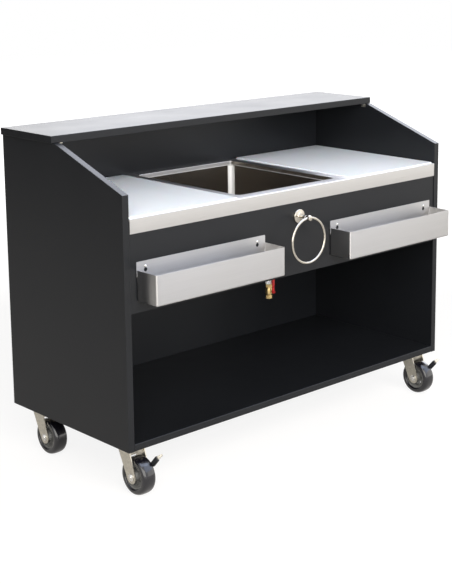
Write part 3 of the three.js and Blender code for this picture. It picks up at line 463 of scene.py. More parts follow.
def rounded(rectangle, radius, steps=8):
    """A rectangle with round corners, as points in the plane."""
    x0, y0, x1, y1 = shrunk(rectangle, radius)
    corners = ((x1, y1), (x0, y1), (x0, y0), (x1, y0))
    return [p for i, c in enumerate(corners) for p in arc(c, radius, 90 * i, 90 * i + 90, steps)]


def turned(mesh, profile, steps=64, facing=UP, centre=(0, 0, 0)):
    """A profile of (radius, height) pairs turned about an axis. One that ends where it starts is a ring."""
    ring = profile[0] == profile[-1]
    place = Matrix.Translation(Vector(centre)) @ facing
    loops = []
    for radius, height in profile[:-1] if ring else profile:
        points = around(radius, steps if radius > SAME_PLACE else 1)
        loops.append(loop(mesh, [place @ Vector((x, y, height)) for x, y in points]))
    skin(mesh, loops, wrap=ring)


def rod(mesh, radius, start, end, steps, facing=UP, centre=(0, 0, 0)):
    """A round bar between two heights."""
    turned(mesh, [(0, start), (radius, start), (radius, end), (0, end)], steps, facing, centre)


def prism(mesh, outline, depth, facing=UP, centre=(0, 0, 0), holes=()):
    """An outline pulled out along its facing, with holes through it."""
    place = Matrix.Translation(Vector(centre)) @ facing
    start = len(mesh.verts)
    edges = []
    for points in (outline, *holes):
        verts = loop(mesh, [place @ Vector((x, y, 0)) for x, y in points])
        edges += [mesh.edges.new((verts[i - 1], verts[i])) for i in range(len(verts))]
    if holes:
        made = bmesh.ops.triangle_fill(mesh, use_beauty=True, edges=edges)["geom"]
        faces = [g for g in made if isinstance(g, bmesh.types.BMFace)]
    else:
        mesh.verts.ensure_lookup_table()
        faces = [mesh.faces.new(mesh.verts[start:])]
    pulled = bmesh.ops.extrude_face_region(mesh, geom=faces)["geom"]
    moved = [g for g in pulled if isinstance(g, bmesh.types.BMVert)]
    bmesh.ops.translate(mesh, verts=moved, vec=facing.to_3x3() @ Vector((0, 0, depth)))


def slab(mesh, rectangle, corner, bottom, top, ease, steps=10):
    """A flat slab with round corners and eased edges."""
    turns = (0, math.pi / 4, math.pi / 2)
    levels = [(ease * (1 - math.sin(t)), bottom + ease * (1 - math.cos(t))) for t in turns]
    levels += [(inset, bottom + top - z) for inset, z in reversed(levels)]
    loops = [level(mesh, rounded(shrunk(rectangle, i), corner - i, steps), z) for i, z in levels]
    skin(mesh, loops)
    mesh.faces.new(loops[0])
    mesh.faces.new(loops[-1])


def bowl_loops(mesh, rectangle, corner, floor, top, cove, steps, back_drop):
    """Loops of a round-cornered bowl from its floor's edge to its top, which may be lower at the back."""
    sharpest = 0.4
    loops = []
    for i in range(steps + 1):
        turn = math.pi / 2 * i / steps
        inset = cove * (1 - math.sin(turn))
        shape = rounded(shrunk(rectangle, inset), max(corner - inset, sharpest), steps)
        loops.append(level(mesh, shape, floor + cove * (1 - math.cos(turn))))
    back = rectangle[3] - corner / 2
    brim = rounded(rectangle, corner, steps)
    loops.append(loop(mesh, [(x, y, top - back_drop if y > back else top) for x, y in brim]))
    return loops


def pan(mesh, rectangle, corner, bottom, top, sheet, cove, drain=None, steps=8, back_drop=0.0):
    """An open pan of thin sheet with coved edges; a drain is a floor hole's (radius, steps, x, y)."""
    inside = shrunk(rectangle, sheet)
    inner_corner, inner_cove = max(corner - sheet, 0.6), max(cove - sheet, 0.5)
    outer = bowl_loops(mesh, rectangle, corner, bottom, top, cove, steps, back_drop)
    inner = bowl_loops(mesh, inside, inner_corner, bottom + sheet, top, inner_cove, steps, back_drop)
    skin(mesh, outer + inner[::-1])
    if not drain:
        mesh.faces.new(outer[0])
        mesh.faces.new(inner[0])
        return
    rims = []
    for edge, z in ((outer[0], bottom), (inner[0], bottom + sheet)):
        rim = level(mesh, circle(*drain), z)
        sides = [mesh.edges.get((edge[i - 1], edge[i])) for i in range(len(edge))]
        sides += [mesh.edges.new((rim[i - 1], rim[i])) for i in range(len(rim))]
        bmesh.ops.triangle_fill(mesh, use_beauty=True, edges=sides)
        rims.append(rim)
    skin(mesh, rims)


def bent(path, thickness, radius, steps=5):
    """The outline of a strip of even thickness along a path with round bends."""
    line = [Vector(p) for p in path]
    smooth = [line[0]]
    for before, here, after in zip(line, line[1:], line[2:]):
        to_back, to_front = (before - here).normalized(), (after - here).normalized()
        half = to_back.angle(to_front) / 2
        reach = radius / math.tan(half)
        start, end = here + to_back * reach, here + to_front * reach
        for i in range(steps + 1):
            t = i / steps
            smooth.append(start * (1 - t) ** 2 + here * 2 * t * (1 - t) + end * t ** 2)
    smooth.append(line[-1])
    left, right = [], []
    for i, here in enumerate(smooth):
        along = (smooth[min(i + 1, len(smooth) - 1)] - smooth[max(i - 1, 0)]).normalized()
        side = Vector((-along.y, along.x)) * thickness / 2
        left.append(tuple(here + side))
        right.append(tuple(here - side))
    return left + right[::-1]


def hex_nut(mesh, radius, height, facing, centre):
    """A six-sided nut or bolt head with a turned chamfer on its free end."""
    chamfer = 0.2 * height
    flat = radius * math.cos(math.radians(30))
    end = Vector(centre) + facing.to_3x3() @ Vector((0, 0, height - chamfer))
    prism(mesh, hexagon(radius), height - chamfer, facing, centre)
    turned(mesh, [(0, 0), (flat, 0), (flat * 0.9, chamfer), (0, chamfer)], 36, facing, end)


def pipe_nut(name, node, slot, radius, hole, place, bevel):
    """A six-sided nut with a hole, round an upright pipe."""
    low, high = box_mm(node)
    mesh = bmesh.new()
    prism(mesh, hexagon(radius), high.z - low.z, UP, (*place[:2], low.z), [hole])
    finish(name, mesh, slot, [node], bevel=bevel)


def screw_head(mesh, radius, height, facing, centre):
    """A domed screw head with a driver socket."""
    rim = 0.2 * height
    dome = [(0, 0), (radius, 0), (radius, rim)]
    dome += [(radius * math.cos(t), rim + (height - rim) * math.sin(t)) for t in (0.4, 0.75, 1.05)]
    dome += [(radius * 0.36, height * 0.98), (radius * 0.3, height * 0.4), (0, height * 0.35)]
    turned(mesh, dome, 24, facing, centre)


# Pieces


def banded_shelf():
    # The band on the shelf's front edge is rounded, and its upper edge catches the light as a thin line.
    low, high = box_mm("bottom_shelf")
    band = sizes().edge_band / MM
    inner = low.y + band
    section = [(inner + band, high.z)]
    section += arc((inner, high.z - band), band, 90, 180, 6)
    section += arc((inner, low.z + band), band, 180, 270, 6)
    section += [(inner + band, low.z), (high.y, low.z), (high.y, high.z)]
    mesh = bmesh.new()
    prism(mesh, section, high.x - low.x, FACING_X, (low.x, 0, 0))
    finish("banded_shelf", mesh, "laminated_board", ["bottom_shelf"])


def bracket_screws(side, sign):
    low, high = box_mm(f"{side}_top_bracket")
    middle = (low + high) / 2
    sheet, rise, aside = 2.0, 5.0, 1.5
    head_radius, head_height = 2.4, 1.2
    wall = (high.x if sign > 0 else low.x) - sign * sheet
    inward = Matrix.Rotation(math.radians(-90 * sign), 4, "Y")
    mesh = bmesh.new()
    screw_head(mesh, head_radius, head_height, inward, (wall, middle.y, low.z + rise))
    screw_head(mesh, head_radius, head_height, DOWN, (middle.x - sign * aside, middle.y, high.z - sheet))
    finish(f"{side}_bracket_screws", mesh, ZINC)


class BAR_OT_cabinet(bpy.types.Operator):
    """Finish the laminated panels, the battens and the brackets under the bar top"""

    bl_idname = "bar.cabinet"
    bl_label = "Cabinet"

    def execute(self, context):
        for part in frame["record"]["subparts"]:
            node = frame["nodes"][part["node"]]
            node.data.materials.clear()
            node.data.materials.append(material(part["material_slot"]))
        banded_shelf()
        for side, sign in (("left", -1), ("right", 1)):
            bracket_screws(side, sign)
        return {"FINISHED"}


def sink_deck(mesh, front, back, top, sheet):
    s = sizes()
    half = s.deck / MM / 2 - sheet
    wide, run = s.sink_width / MM / 2, s.sink_run / MM / 2
    middle = middle_mm("sink_bowl").y
    opening = (-wide, middle - run, wide, middle + run)
    corner, fold, drop = s.sink_corner / MM, s.fold / MM, s.sink_edge / MM
    corner_steps, fold_steps, bead, tight = 10, 6, 1.5, 0.3

    def ring(piece, grow, z):
        return level(piece, rounded(shrunk(opening, -grow), corner + grow, corner_steps), z)

    outside = rounded((-half, front, half, back), tight, corner_steps)
    loops = [level(mesh, outside, top)]
    for i in range(fold_steps + 1):
        turn = math.pi / 2 * i / fold_steps
        loops.append(ring(mesh, fold * (1 - math.sin(turn)), top - fold * (1 - math.cos(turn))))
    loops.append(ring(mesh, sheet, top - fold))
    loops.append(level(mesh, outside, top - sheet))
    skin(mesh, loops, wrap=True)
    bottom = top - drop
    foot = bottom + bead
    rings = ((0, top - fold), (0, foot), (sheet, foot), (sheet, top - fold))
    ends, flanks = bmesh.new(), bmesh.new()
    for side, piece in enumerate((ends, flanks, ends, flanks)):
        first = corner_steps // 2 + (corner_steps + 1) * side
        last = first + corner_steps + 2
        strip(piece, [(ring(piece, grow, z) * 2)[first:last] for grow, z in rings])
    finish("turned_sink_ends", ends, STEEL)
    # The flanks take the bowl's darker colour: painted shade.
    finish("turned_sink_flanks", flanks, STEEL, look="turned_flank")
    # A bead under the turned edge, in the pale steel of the painted highlight.
    seam = bmesh.new()
    rings = ((0, foot), (-bead, bottom + bead * 0.6), (-bead, bottom), (sheet, bottom), (sheet, foot))
    skin(seam, [ring(seam, grow, z) for grow, z in rings], wrap=True)
    finish("dressed_sink_seam", seam, STEEL, look="corner_highlight_paint")


class BAR_OT_worktop(bpy.types.Operator):
    """Fold the stainless worktop: front band, deck round the sink and two pans"""

    bl_idname = "bar.worktop"
    bl_label = "Worktop"

    def execute(self, context):
        s = sizes()
        low, high = box_mm("worktop")
        top, front, back = high.z, low.y, high.y
        sheet, fold, lip = s.sheet / MM, s.fold / MM, s.lip / MM
        pan_corner, pan_cove = 4.0, 3.0
        mesh = bmesh.new()
        edge = front + lip - sheet
        section = [(front, low.z)]
        section += arc((front + fold, top - fold), fold, 180, 90, 8)
        section += [(edge, top), (edge, top - sheet)]
        section += arc((front + fold, top - fold), fold - sheet, 90, 180, 6)
        section += [(front + sheet, low.z)]
        prism(mesh, section, high.x - low.x, FACING_X, (low.x, 0, 0))
        sink_deck(mesh, edge, back, top, sheet)
        deck = s.deck / MM / 2
        floor = top - s.pan / MM - sheet
        for x0, x1 in ((low.x, -deck + sheet), (deck - sheet, high.x)):
            pan(mesh, (x0, edge, x1, back), pan_corner, floor, top, sheet, pan_cove, steps=4)
        finish("folded_worktop", mesh, STEEL, ["worktop"], look="worn_deck")
        return {"FINISHED"}


BOWL_SHEET = 1.2
BOWL_CORNER = 21.0
BOWL_COVE = 17.0
DRAIN_HOLE = 25.3


def bowl_corners(walls, bottom, top):
    # A skim inside each corner of the bowl, in the pale half-metal steel: a painted highlight down each
    # corner.
    radius, skim = BOWL_CORNER - BOWL_SHEET, 0.4
    x0, y0, x1, y1 = shrunk(walls, BOWL_CORNER)
    section = arc((0, 0), radius, 5, 88, 10) + arc((0, 0), radius - skim, 88, 5, 10)
    mesh = bmesh.new()
    for turn, x, y in ((0, x1, y1), (90, x0, y1), (180, x0, y0), (270, x1, y0)):
        facing = Matrix.Rotation(math.radians(turn), 4, "Z")
        prism(mesh, section, top - bottom, facing, (x, y, bottom))
    finish("dressed_bowl_corners", mesh, STEEL, look="corner_highlight_paint")


def drain_flange(place):
    low, high = box_mm("drain_body")
    foot, top = low.z, high.z
    flange = 2
    seat = top - flange
    threads, pitch, crest = 8, 3, 0.7
    body = bmesh.new()
    turned(body, [
        (8, foot), (24.2, foot), (25, foot + 0.8), (25, seat), (39.4, seat), (40, seat + 0.5),
        (38.5, top - 0.4), (36, top), (27, top - 0.4), (24, top - 2), (22, top - 5),
        (22, foot + 6), (19, foot + 3), (8, foot + 3), (8, foot),
    ], 64, UP, place)
    for i in range(1, threads + 1):
        thread = [(24.6, 0), (25.25, crest), (24.6, 2 * crest), (24.6, 0)]
        turned(body, thread, 48, UP, (*place[:2], foot + pitch * i))
    finish("drain_flange", body, STEEL, ["drain_body"])
    pipe_nut("drain_nut", "drain_locknut", "brass", 37, circle(DRAIN_HOLE, 48), place, bevel=0.8)


def strainer_cup(place):
    low, high = box_mm("drain_strainer")
    foot, top = low.z, high.z
    cup_depth, cup_radius, sheet = 14, 21.4, 1.5
    deck = foot + cup_depth
    cup = bmesh.new()
    holes = [circle(2.2, 16, x, y) for x, y in around(13, 6)]
    holes += [circle(1.4, 12, x, y) for x, y in around(7.5, 6, 0.5)]
    prism(cup, circle(cup_radius, 64), sheet, UP, (*place[:2], deck), holes)
    wall = [(20.2, foot), (cup_radius, foot), (21.7, deck + 1), (20.6, deck + 1.6), (20.2, foot)]
    turned(cup, wall, 64, UP, place)
    turned(cup, [
        (0, deck + 1.4), (2.4, deck + 1.4), (2.0, deck + 8), (3.9, deck + 10), (4, deck + 12.4),
        (2.8, top), (0, top),
    ], 32, UP, place)
    finish("strainer_cup", cup, STEEL, ["drain_strainer"], "strainer")


class BAR_OT_sink(bpy.types.Operator):
    """Draw the sink bowl and set the drain and its strainer in the floor"""

    bl_idname = "bar.sink"
    bl_label = "Sink"

    def execute(self, context):
        low, high = box_mm("sink_bowl")
        drain = middle_mm("drain_body")
        rim, overlap, clear = 10.0, 0.6, 0.1
        outside = (low.x, low.y, high.x, high.y)
        walls = shrunk(outside, rim)
        hole = (DRAIN_HOLE, 32, drain.x, drain.y)
        mesh = bmesh.new()
        pan(mesh, walls, BOWL_CORNER, low.z, high.z - clear, BOWL_SHEET, BOWL_COVE, hole, 10)
        flange = rounded(outside, BOWL_CORNER + rim, 10)
        opening = rounded(shrunk(walls, overlap), BOWL_CORNER - overlap, 10)
        prism(mesh, flange, BOWL_SHEET, UP, (0, 0, high.z - BOWL_SHEET), [opening])
        # The bowl's darker colour is painted shade.
        finish("drawn_sink_bowl", mesh, STEEL, ["sink_bowl"], look="drawn_bowl")
        bowl_corners(walls, low.z + BOWL_COVE, high.z - sizes().sink_edge / MM)
        drain_flange((drain.x, drain.y, 0))
        strainer_cup((drain.x, drain.y, 0))
        return {"FINISHED"}


class BAR_OT_boards(bpy.types.Operator):
    """Cut the two white boards"""

    bl_idname = "bar.boards"
    bl_label = "Cutting Boards"

    def execute(self, context):
        ease = 1.6
        for side in ("left", "right"):
            node = f"{side}_cutting_board"
            low, high = box_mm(node)
            mesh = bmesh.new()
            slab(mesh, (low.x, low.y, high.x, high.y), sizes().board_corner / MM, low.z, high.z, ease)
            finish(f"{side}_white_board", mesh, "white_polyethylene", [node], f"{side}_board")
        return {"FINISHED"}


def rail_screw(number):
    node = f"rail_screw_{number}"
    low, high = box_mm(node)
    x, _, z = (low + high) / 2
    shank_radius, head_radius, head_height, sunk = 2.1, 4.8, 2.8, 2
    mesh = bmesh.new()
    rod(mesh, shank_radius, -high.y, -low.y - sunk, 20, TO_BARTENDER, (x, 0, z))
    screw_head(mesh, head_radius, head_height, TO_BARTENDER, (x, low.y + head_height, z))
    finish(f"rail_screw_head_{number}", mesh, ZINC, [node], look="bright_bolt")


def keyhole(x, z):
    """A slot that seats on the screw over a mouth for its head."""
    slot, mouth, drop = 2.6, 6.8, 11.0
    lean = math.degrees(math.asin(slot / mouth))
    seat = arc((x, z), slot, 0, 180, 8)
    return seat + arc((x, z - drop), mouth, 90 + lean, 450 - lean, 20)


def folded_rail(side):
    s = sizes()
    node = f"{side}_speed_rail"
    low, high = box_mm(node)
    sheet, bend = s.sheet / MM, s.rail_bend / MM
    trough, back_drop, overlap, corner = 100, 20.0, 24, 2.5
    hole_from_end, hole_from_top = 36, 18
    brim = low.z + trough
    mesh = bmesh.new()
    rectangle = (low.x, low.y, high.x, high.y)
    pan(mesh, rectangle, bend, low.z, brim, sheet, bend - 0.6, steps=6, back_drop=back_drop)
    outline = rounded((low.x, brim - overlap, high.x, high.z), corner, 5)
    places = (low.x + hole_from_end, high.x - hole_from_end)
    holes = [keyhole(x, high.z - hole_from_top) for x in places]
    prism(mesh, outline, sheet, TO_BARTENDER, (0, high.y, 0), holes)
    finish(f"{side}_folded_rail", mesh, STEEL, [node], f"{side}_rail", bevel=0.6)


class BAR_OT_speed_rails(bpy.types.Operator):
    """Fold the two speed rails and drive their screws"""

    bl_idname = "bar.speed_rails"
    bl_label = "Speed Rails"

    def execute(self, context):
        for side in ("left", "right"):
            folded_rail(side)
        for i in range(1, 5):
            rail_screw(i)
        return {"FINISHED"}


def towel_post(wall, centre):
    tip = -box_mm("towel_post")[0].y
    eye_from_tip, eye_radius, eye_width, eye_bore = 12, 9.5, 11, 5.6
    plane = tip - eye_from_tip
    post = bmesh.new()
    turned(post, [
        (0, wall), (6, wall), (6, plane - 15), (7.4, plane - 14), (7.4, plane - 12.4),
        (6.4, plane - 11.6), (6.4, plane - 6.5), (0, plane - 6.5),
    ], 40, TO_BARTENDER, centre)
    eye = (-eye_width / 2, -plane, centre[2])
    prism(post, circle(eye_radius), eye_width, ALONG_X, eye, [circle(eye_bore)])
    turned(post, [
        (0, plane + 5.8), (5.4, plane + 5.8), (6.2, plane + 7), (8.6, plane + 7.6), (9.3, plane + 8.8),
        (8.6, plane + 10.4), (6, plane + 11.6), (0, tip),
    ], 40, TO_BARTENDER, centre)
    finish("towel_post_turned", post, NICKEL, ["towel_post"], bevel=0.5)


def bent_ring():
    low, high = box_mm("towel_ring")
    tube = sizes().tube / MM / 2
    radius = (high.x - low.x) / 2 - tube
    section = [(radius + across, up) for across, up in around(tube, 24)]
    ring = bmesh.new()
    turned(ring, [*section, section[0]], 128, TO_BARTENDER, (low + high) / 2)
    finish("towel_ring_bent", ring, NICKEL, ["towel_ring"], "towel_ring_body")


class BAR_OT_towel_ring(bpy.types.Operator):
    """Turn the towel ring's rose and post and bend its ring"""

    bl_idname = "bar.towel_ring"
    bl_label = "Towel Ring"

    def execute(self, context):
        low, high = box_mm("towel_rose")
        x, _, z = (low + high) / 2
        centre = (x, 0, z)
        wall, face = -high.y, -low.y
        rose = bmesh.new()
        turned(rose, [
            (6.3, wall), (25, wall), (25, face - 2.6), (24.6, face - 1.2), (23.6, face - 0.3), (22, face),
            (12, face), (10.5, face + 0.8), (9.4, face + 2.4), (6.3, face + 2.6), (6.3, wall),
        ], 72, TO_BARTENDER, centre)
        finish("towel_rose_cap", rose, NICKEL, ["towel_rose"])
        towel_post(wall, centre)
        bent_ring()
        return {"FINISHED"}


def tailpiece(centre):
    low, high = box_mm("drain_tailpiece")
    foot, top = low.z, high.z
    nut_height = 16
    shoulder = top - nut_height
    knurls, knurl_radius, knurl_circle = 14, 1.2, 16.8
    tail = bmesh.new()
    turned(tail, [
        (8, foot), (10.2, foot), (10.5, foot + 0.4), (10.5, shoulder), (16.2, shoulder),
        (17, shoulder + 0.8), (17, top - 1), (16.2, top), (8, top), (8, foot),
    ], 48, UP, centre)
    for x, y in around(knurl_circle, knurls):
        rod(tail, knurl_radius, shoulder + 2, top - 2, 10, UP, (centre[0] + x, centre[1] + y, 0))
    finish("drain_tailpipe", tail, NICKEL, ["drain_tailpiece"])


def valve_body(centre):
    low, high = box_mm("valve_body")
    foot, top = low.z, high.z
    middle = (foot + top) / 2
    bore, end_radius, end_height = 7.4, 12.5, 12
    threads, pitch = 4, 1.6
    mesh = bmesh.new()
    for z in (foot, top - end_height):
        prism(mesh, hexagon(end_radius), end_height, UP, (*centre[:2], z), [circle(bore, 32)])
    turned(mesh, [
        (bore, foot + 6), (10, foot + 6), (10, foot + 13.2), (11.4, foot + 15.2), (12.2, middle - 7),
        (12.3, middle), (12.2, middle + 7), (11.4, top - 15.2), (10, top - 13.2), (10, top - 6),
        (bore, top - 6), (bore, middle + 8), (10, middle + 6), (10, middle - 6), (bore, middle - 8),
        (bore, foot + 6),
    ], 48, UP, centre)
    gland = [(3.4, 9.9), (6.4, 9.9), (6.4, 12.6), (5.5, 13.2), (5.5, 14.4), (3.4, 14.4), (3.4, 9.9)]
    turned(mesh, gland, 32, TO_BARTENDER, (*centre[:2], middle))
    thread = [(7.0, 0), (7.8, 0), (7.4, 0.9), (7.0, 0)]
    for i in range(threads):
        turned(mesh, thread, 32, UP, (*centre[:2], foot + 0.6 + pitch * i))
    finish("ball_valve_body", mesh, "brass", ["valve_body"], bevel=0.6)


def valve_handle(axis):
    x, y, middle = axis
    ball, ball_bore, stem_radius = arc((0, 0), 9.5, -48, 48, 12), 6.3, 3
    reach = y - box_mm("valve_ball_stem")[0].y
    stem = bmesh.new()
    start = (ball_bore, ball[0][1])
    turned(stem, [start, *ball, (ball_bore, ball[-1][1]), start], 40, UP, axis)
    pin = [(0, 7), (stem_radius, 7), (stem_radius, reach - 0.6), (2.4, reach), (0, reach)]
    turned(stem, pin, 24, TO_BARTENDER, axis)
    finish("valve_stem", stem, NICKEL, ["valve_ball_stem"], "valve_handle")
    high = box_mm("valve_lever")[1]
    back, rise = high.y, high.z - middle
    eye_radius, eye_hole, tip_radius = 6.0, 3.3, 5
    tip = arc((0, rise - tip_radius), tip_radius, 0, 180, 12)
    outline = arc((0, 0), eye_radius, 180, 360, 14) + [(5.2, 14), (4.4, 20)]
    outline += tip + [(-4.4, 20), (-5.2, 14)]
    grip = [(across * 1.12, up) for across, up in tip] + [(-5.2, 24), (5.2, 24)]
    lever = bmesh.new()
    prism(lever, outline, 2.5, TO_BARTENDER, (x, back, middle), [circle(eye_hole, 20)])
    prism(lever, grip, 4.5, TO_BARTENDER, (x, back + 1, middle))
    finish("red_lever", lever, "red_vinyl", ["valve_lever"], "valve_handle", bevel=1.0)
    node = "valve_lever_nut"
    low, high = box_mm(node)
    nut = bmesh.new()
    hex_nut(nut, 5.6, high.y - low.y, TO_BARTENDER, (x, high.y, middle))
    finish("lever_lock_nut", nut, ZINC, [node], "valve_handle", bevel=0.2, look="red_vinyl")


class BAR_OT_valve(bpy.types.Operator):
    """Turn the tailpiece, the ball valve and its red lever"""

    bl_idname = "bar.valve"
    bl_label = "Drain Valve"

    def execute(self, context):
        middle = middle_mm("drain_tailpiece")
        centre = (middle.x, middle.y, 0)
        tailpiece(centre)
        pipe_nut("inlet_nut", "valve_inlet_nut", "white_nylon", 13.5, circle(8, 32), centre, bevel=0.7)
        valve_body(centre)
        valve_handle((*centre[:2], middle_mm("valve_body").z))
        return {"FINISHED"}


WHEEL_RADIUS = 63.5
CASTER_TRAIL = 38.0
AXLE = (0, -CASTER_TRAIL, WHEEL_RADIUS)
AXLE_BORE = 5.3
FORK_GAP = 28.0
FORK_SHEET = 3.5
FORK_FACE = FORK_GAP + FORK_SHEET
PLAY = 0.3
LEVER_SHEET = 3.0


def caster_piece(corner, name, mesh, part, slot, node, place, **settings):
    """Finishes a piece that rides on the cabinet or on a part of the caster at one corner."""
    body = part if part == "cabinet" else f"{corner}_{part}"
    finish(f"{corner}_{name}", mesh, slot, [f"{corner}_{node}"], body, place=place, **settings)


def swivel_plate(corner, place, bottom, top):
    thick, half_width, half_run, corner_radius = 3.2, 32, 46, 8
    hole_radius, washer_radius, washer, nut_radius, nut_height = 4.2, 8.4, 1.2, 6.4, 4.4
    bolts = [(x, y) for x in (-22.5, 22.5) for y in (-36.5, 36.5)]
    under = top - thick
    crown = under - 9.2
    mesh = bmesh.new()
    holes = [circle(hole_radius, 20, x, y) for x, y in bolts]
    outline = rounded((-half_width, -half_run, half_width, half_run), corner_radius)
    prism(mesh, outline, thick, UP, (0, 0, under), holes)
    turned(mesh, [
        (0, bottom), (6.4, bottom), (9, bottom + 1.2), (10, bottom + 3), (10, bottom + 5.5),
        (6, bottom + 5.5), (6, crown), (25.4, crown), (26.8, crown + 0.8), (27, crown + 3.4),
        (25.6, crown + 5.6), (23.4, under - 1), (22.6, under + 0.5), (0, under + 0.5),
    ])
    for x, y in bolts:
        rod(mesh, washer_radius, 0, washer, 28, DOWN, (x, y, under - 0.05))
        hex_nut(mesh, nut_radius, nut_height, DOWN, (x, y, under - washer))
    caster_piece(corner, "swivel_plate", mesh, "cabinet", ZINC, "caster_plate", place, bevel=0.4)


def pressed_fork(corner, place):
    top, front, back = 149.0, -31, 27
    ease, end_radius, crown, fold = 3, 22, 4.5, 12
    mesh = bmesh.new()
    leg = [(back, top - ease)] + arc((back - ease, top - ease), ease, 0, 90, 4) + [(front, top)]
    leg += arc(AXLE[1:], end_radius, 160.5, 333.9, 22)
    for x in (-FORK_FACE, FORK_GAP):
        prism(mesh, leg, FORK_SHEET, FACING_X, (x, 0, 0), [circle(AXLE_BORE, 24, *AXLE[1:])])
    outline = rounded((-FORK_FACE, front, FORK_FACE, back), FORK_SHEET, 5)
    prism(mesh, outline, crown, UP, (0, 0, top - crown), [circle(6.3, 32)])
    inside = FORK_GAP + 1
    for y in (front, back - FORK_SHEET):
        edge = rounded((-inside, y, inside, y + FORK_SHEET), 0.8, 3)
        prism(mesh, edge, fold, UP, (0, 0, top - ease - fold))
    turned(mesh, [
        (10.6, top - 4.4), (19.4, top - 4.4), (18.2, top - 7), (13, top - 8), (11.4, top - 7.4),
        (10.6, top - 4.4),
    ], 48)
    caster_piece(corner, "pressed_fork", mesh, "swivel", ZINC, "caster_fork", place, bevel=0.9)


def axle_bolt(corner, place, braked):
    bolt_radius, washer_radius, washer, head_radius, head_height = 5, 12.5, 1.4, 8.5, 5.4
    mesh = bmesh.new()
    seat = FORK_FACE + PLAY
    seats = {-1: seat, 1: seat + (LEVER_SHEET + PLAY if braked else 0)}
    rod(mesh, bolt_radius, -seats[-1], seats[1], 28, ALONG_X, AXLE)
    for side, reach in seats.items():
        facing = Matrix.Rotation(math.radians(90 * side), 4, "Y")
        end = (side * reach, *AXLE[1:])
        rod(mesh, washer_radius, 0, washer, 36, facing, end)
        hex_nut(mesh, head_radius, head_height, facing, end)
    look = "bright_bolt"
    caster_piece(corner, "axle", mesh, "swivel", ZINC, "axle_bolt", place, bevel=0.3, look=look)


def wheel_core(corner, place):
    web, web_radius, hub_radius = 11.6, 33, 15.4
    hole_circle, hole_radius = 25.2, 6.4
    hub = [
        (5.5, 27.5), (11.6, 27.5), (12.4, 27), (12.8, 24.4), (14.4, 24), (15, 23.2), (15.8, 10), (17.4, 6),
    ]
    rim = [
        (32.6, 6), (33.6, 16.8), (34.6, 18.4), (35.8, 18), (36.4, 17), (37.2, 18.4), (38, 20.6), (39, 21),
        (42.6, 21),
    ]
    mesh = bmesh.new()
    for half in (hub, rim):
        other = [(r, -x) for r, x in half]
        turned(mesh, [*other, *half[::-1], other[0]], 72, ALONG_X, AXLE)
    holes = [circle(hole_radius, 20, x, y) for x, y in around(hole_circle, 6, 0.5)]
    holes.append(circle(hub_radius, 48))
    prism(mesh, circle(web_radius, 72), web, ALONG_X, (-web / 2, *AXLE[1:]), holes)
    caster_piece(corner, "core", mesh, "wheel", "grey_nylon", "wheel_core", place, bevel=0.3)


def wheel_tread(corner, place):
    shoulder, half_width, squareness = 48, 25, 0.65
    side = [(43.2, 21), (44.2, 23.4), (46, 24.7)]
    section = [(r, -x) for r, x in side]
    for turn in [math.radians(a) for a in range(-90, 91, 5)]:
        rise = (WHEEL_RADIUS - shoulder) * math.cos(turn) ** squareness
        out = half_width * abs(math.sin(turn)) ** squareness
        section.append((shoulder + rise, math.copysign(out, turn)))
    section += [*side[::-1], section[0]]
    mesh = bmesh.new()
    turned(mesh, section, 112, ALONG_X, AXLE)
    caster_piece(corner, "tyre", mesh, "wheel", "black_polyurethane", "wheel_tread", place, angle=50)


def brake_lever(corner, place):
    lean, arm, width, bend, eye_radius = 132, 88.0, 12, 8, 14
    toe_out, toe_rise, toe_taper = 11, 14, 0.03
    inner = FORK_FACE + PLAY
    outer = inner + LEVER_SHEET
    middle = (inner + outer) / 2
    on_axle = Matrix.Translation(AXLE) @ Matrix.Rotation(math.radians(lean), 4, "X")
    mesh = bmesh.new()
    path = [(middle, 0), (middle, arm), (middle + toe_out, arm + toe_rise)]
    prism(mesh, bent(path, LEVER_SHEET, bend), width, UP, (0, 0, -width / 2))
    for vert in mesh.verts:
        vert.co.z *= 1 - toe_taper * max(vert.co.y - arm, 0)
    ease, start = 0.6, (AXLE_BORE, inner)
    eye = [start, (eye_radius - ease, inner), (eye_radius, inner + ease), (eye_radius, outer)]
    eye += [(AXLE_BORE, outer), start]
    turned(mesh, eye, 40, ALONG_X)
    bmesh.ops.transform(mesh, matrix=on_axle, verts=mesh.verts)
    caster_piece(corner, "brake_strap", mesh, "pedal", ZINC, "brake_pedal", place, bevel=0.5)
    start, run, half_depth, half_width = 48, 36, 4.3, 8.8
    ribs, first_rib, rib_spacing, rib_half = 6, 5, 5.2, 6
    sleeve = bmesh.new()
    sides = (middle - half_depth, middle + half_depth)
    outline = rounded((sides[0], -half_width, sides[1], half_width), 2.4, 4)
    prism(sleeve, outline, run, Matrix.Rotation(math.radians(-90), 4, "X"), (0, start, 0))
    for i in range(ribs):
        for x in sides:
            rod(sleeve, 1, -rib_half, rib_half, 10, UP, (x, start + first_rib + rib_spacing * i, 0))
    bmesh.ops.transform(sleeve, matrix=on_axle, verts=sleeve.verts)
    caster_piece(corner, "foot_pad", sleeve, "pedal", "black_rubber", "brake_pad", place, bevel=0.8)


class BAR_OT_casters(bpy.types.Operator):
    """Press, turn and cast the four casters and their brake levers"""

    bl_idname = "bar.casters"
    bl_label = "Casters"

    def execute(self, context):
        for corner in CORNERS:
            low, high = box_mm(f"{corner}_caster_plate")
            place = ((low.x + high.x) / 2, (low.y + high.y) / 2, 0)
            braked = "front" in corner
            swivel_plate(corner, place, low.z, high.z)
            pressed_fork(corner, place)
            axle_bolt(corner, place, braked)
            wheel_core(corner, place)
            wheel_tread(corner, place)
            if braked:
                brake_lever(corner, place)
        return {"FINISHED"}


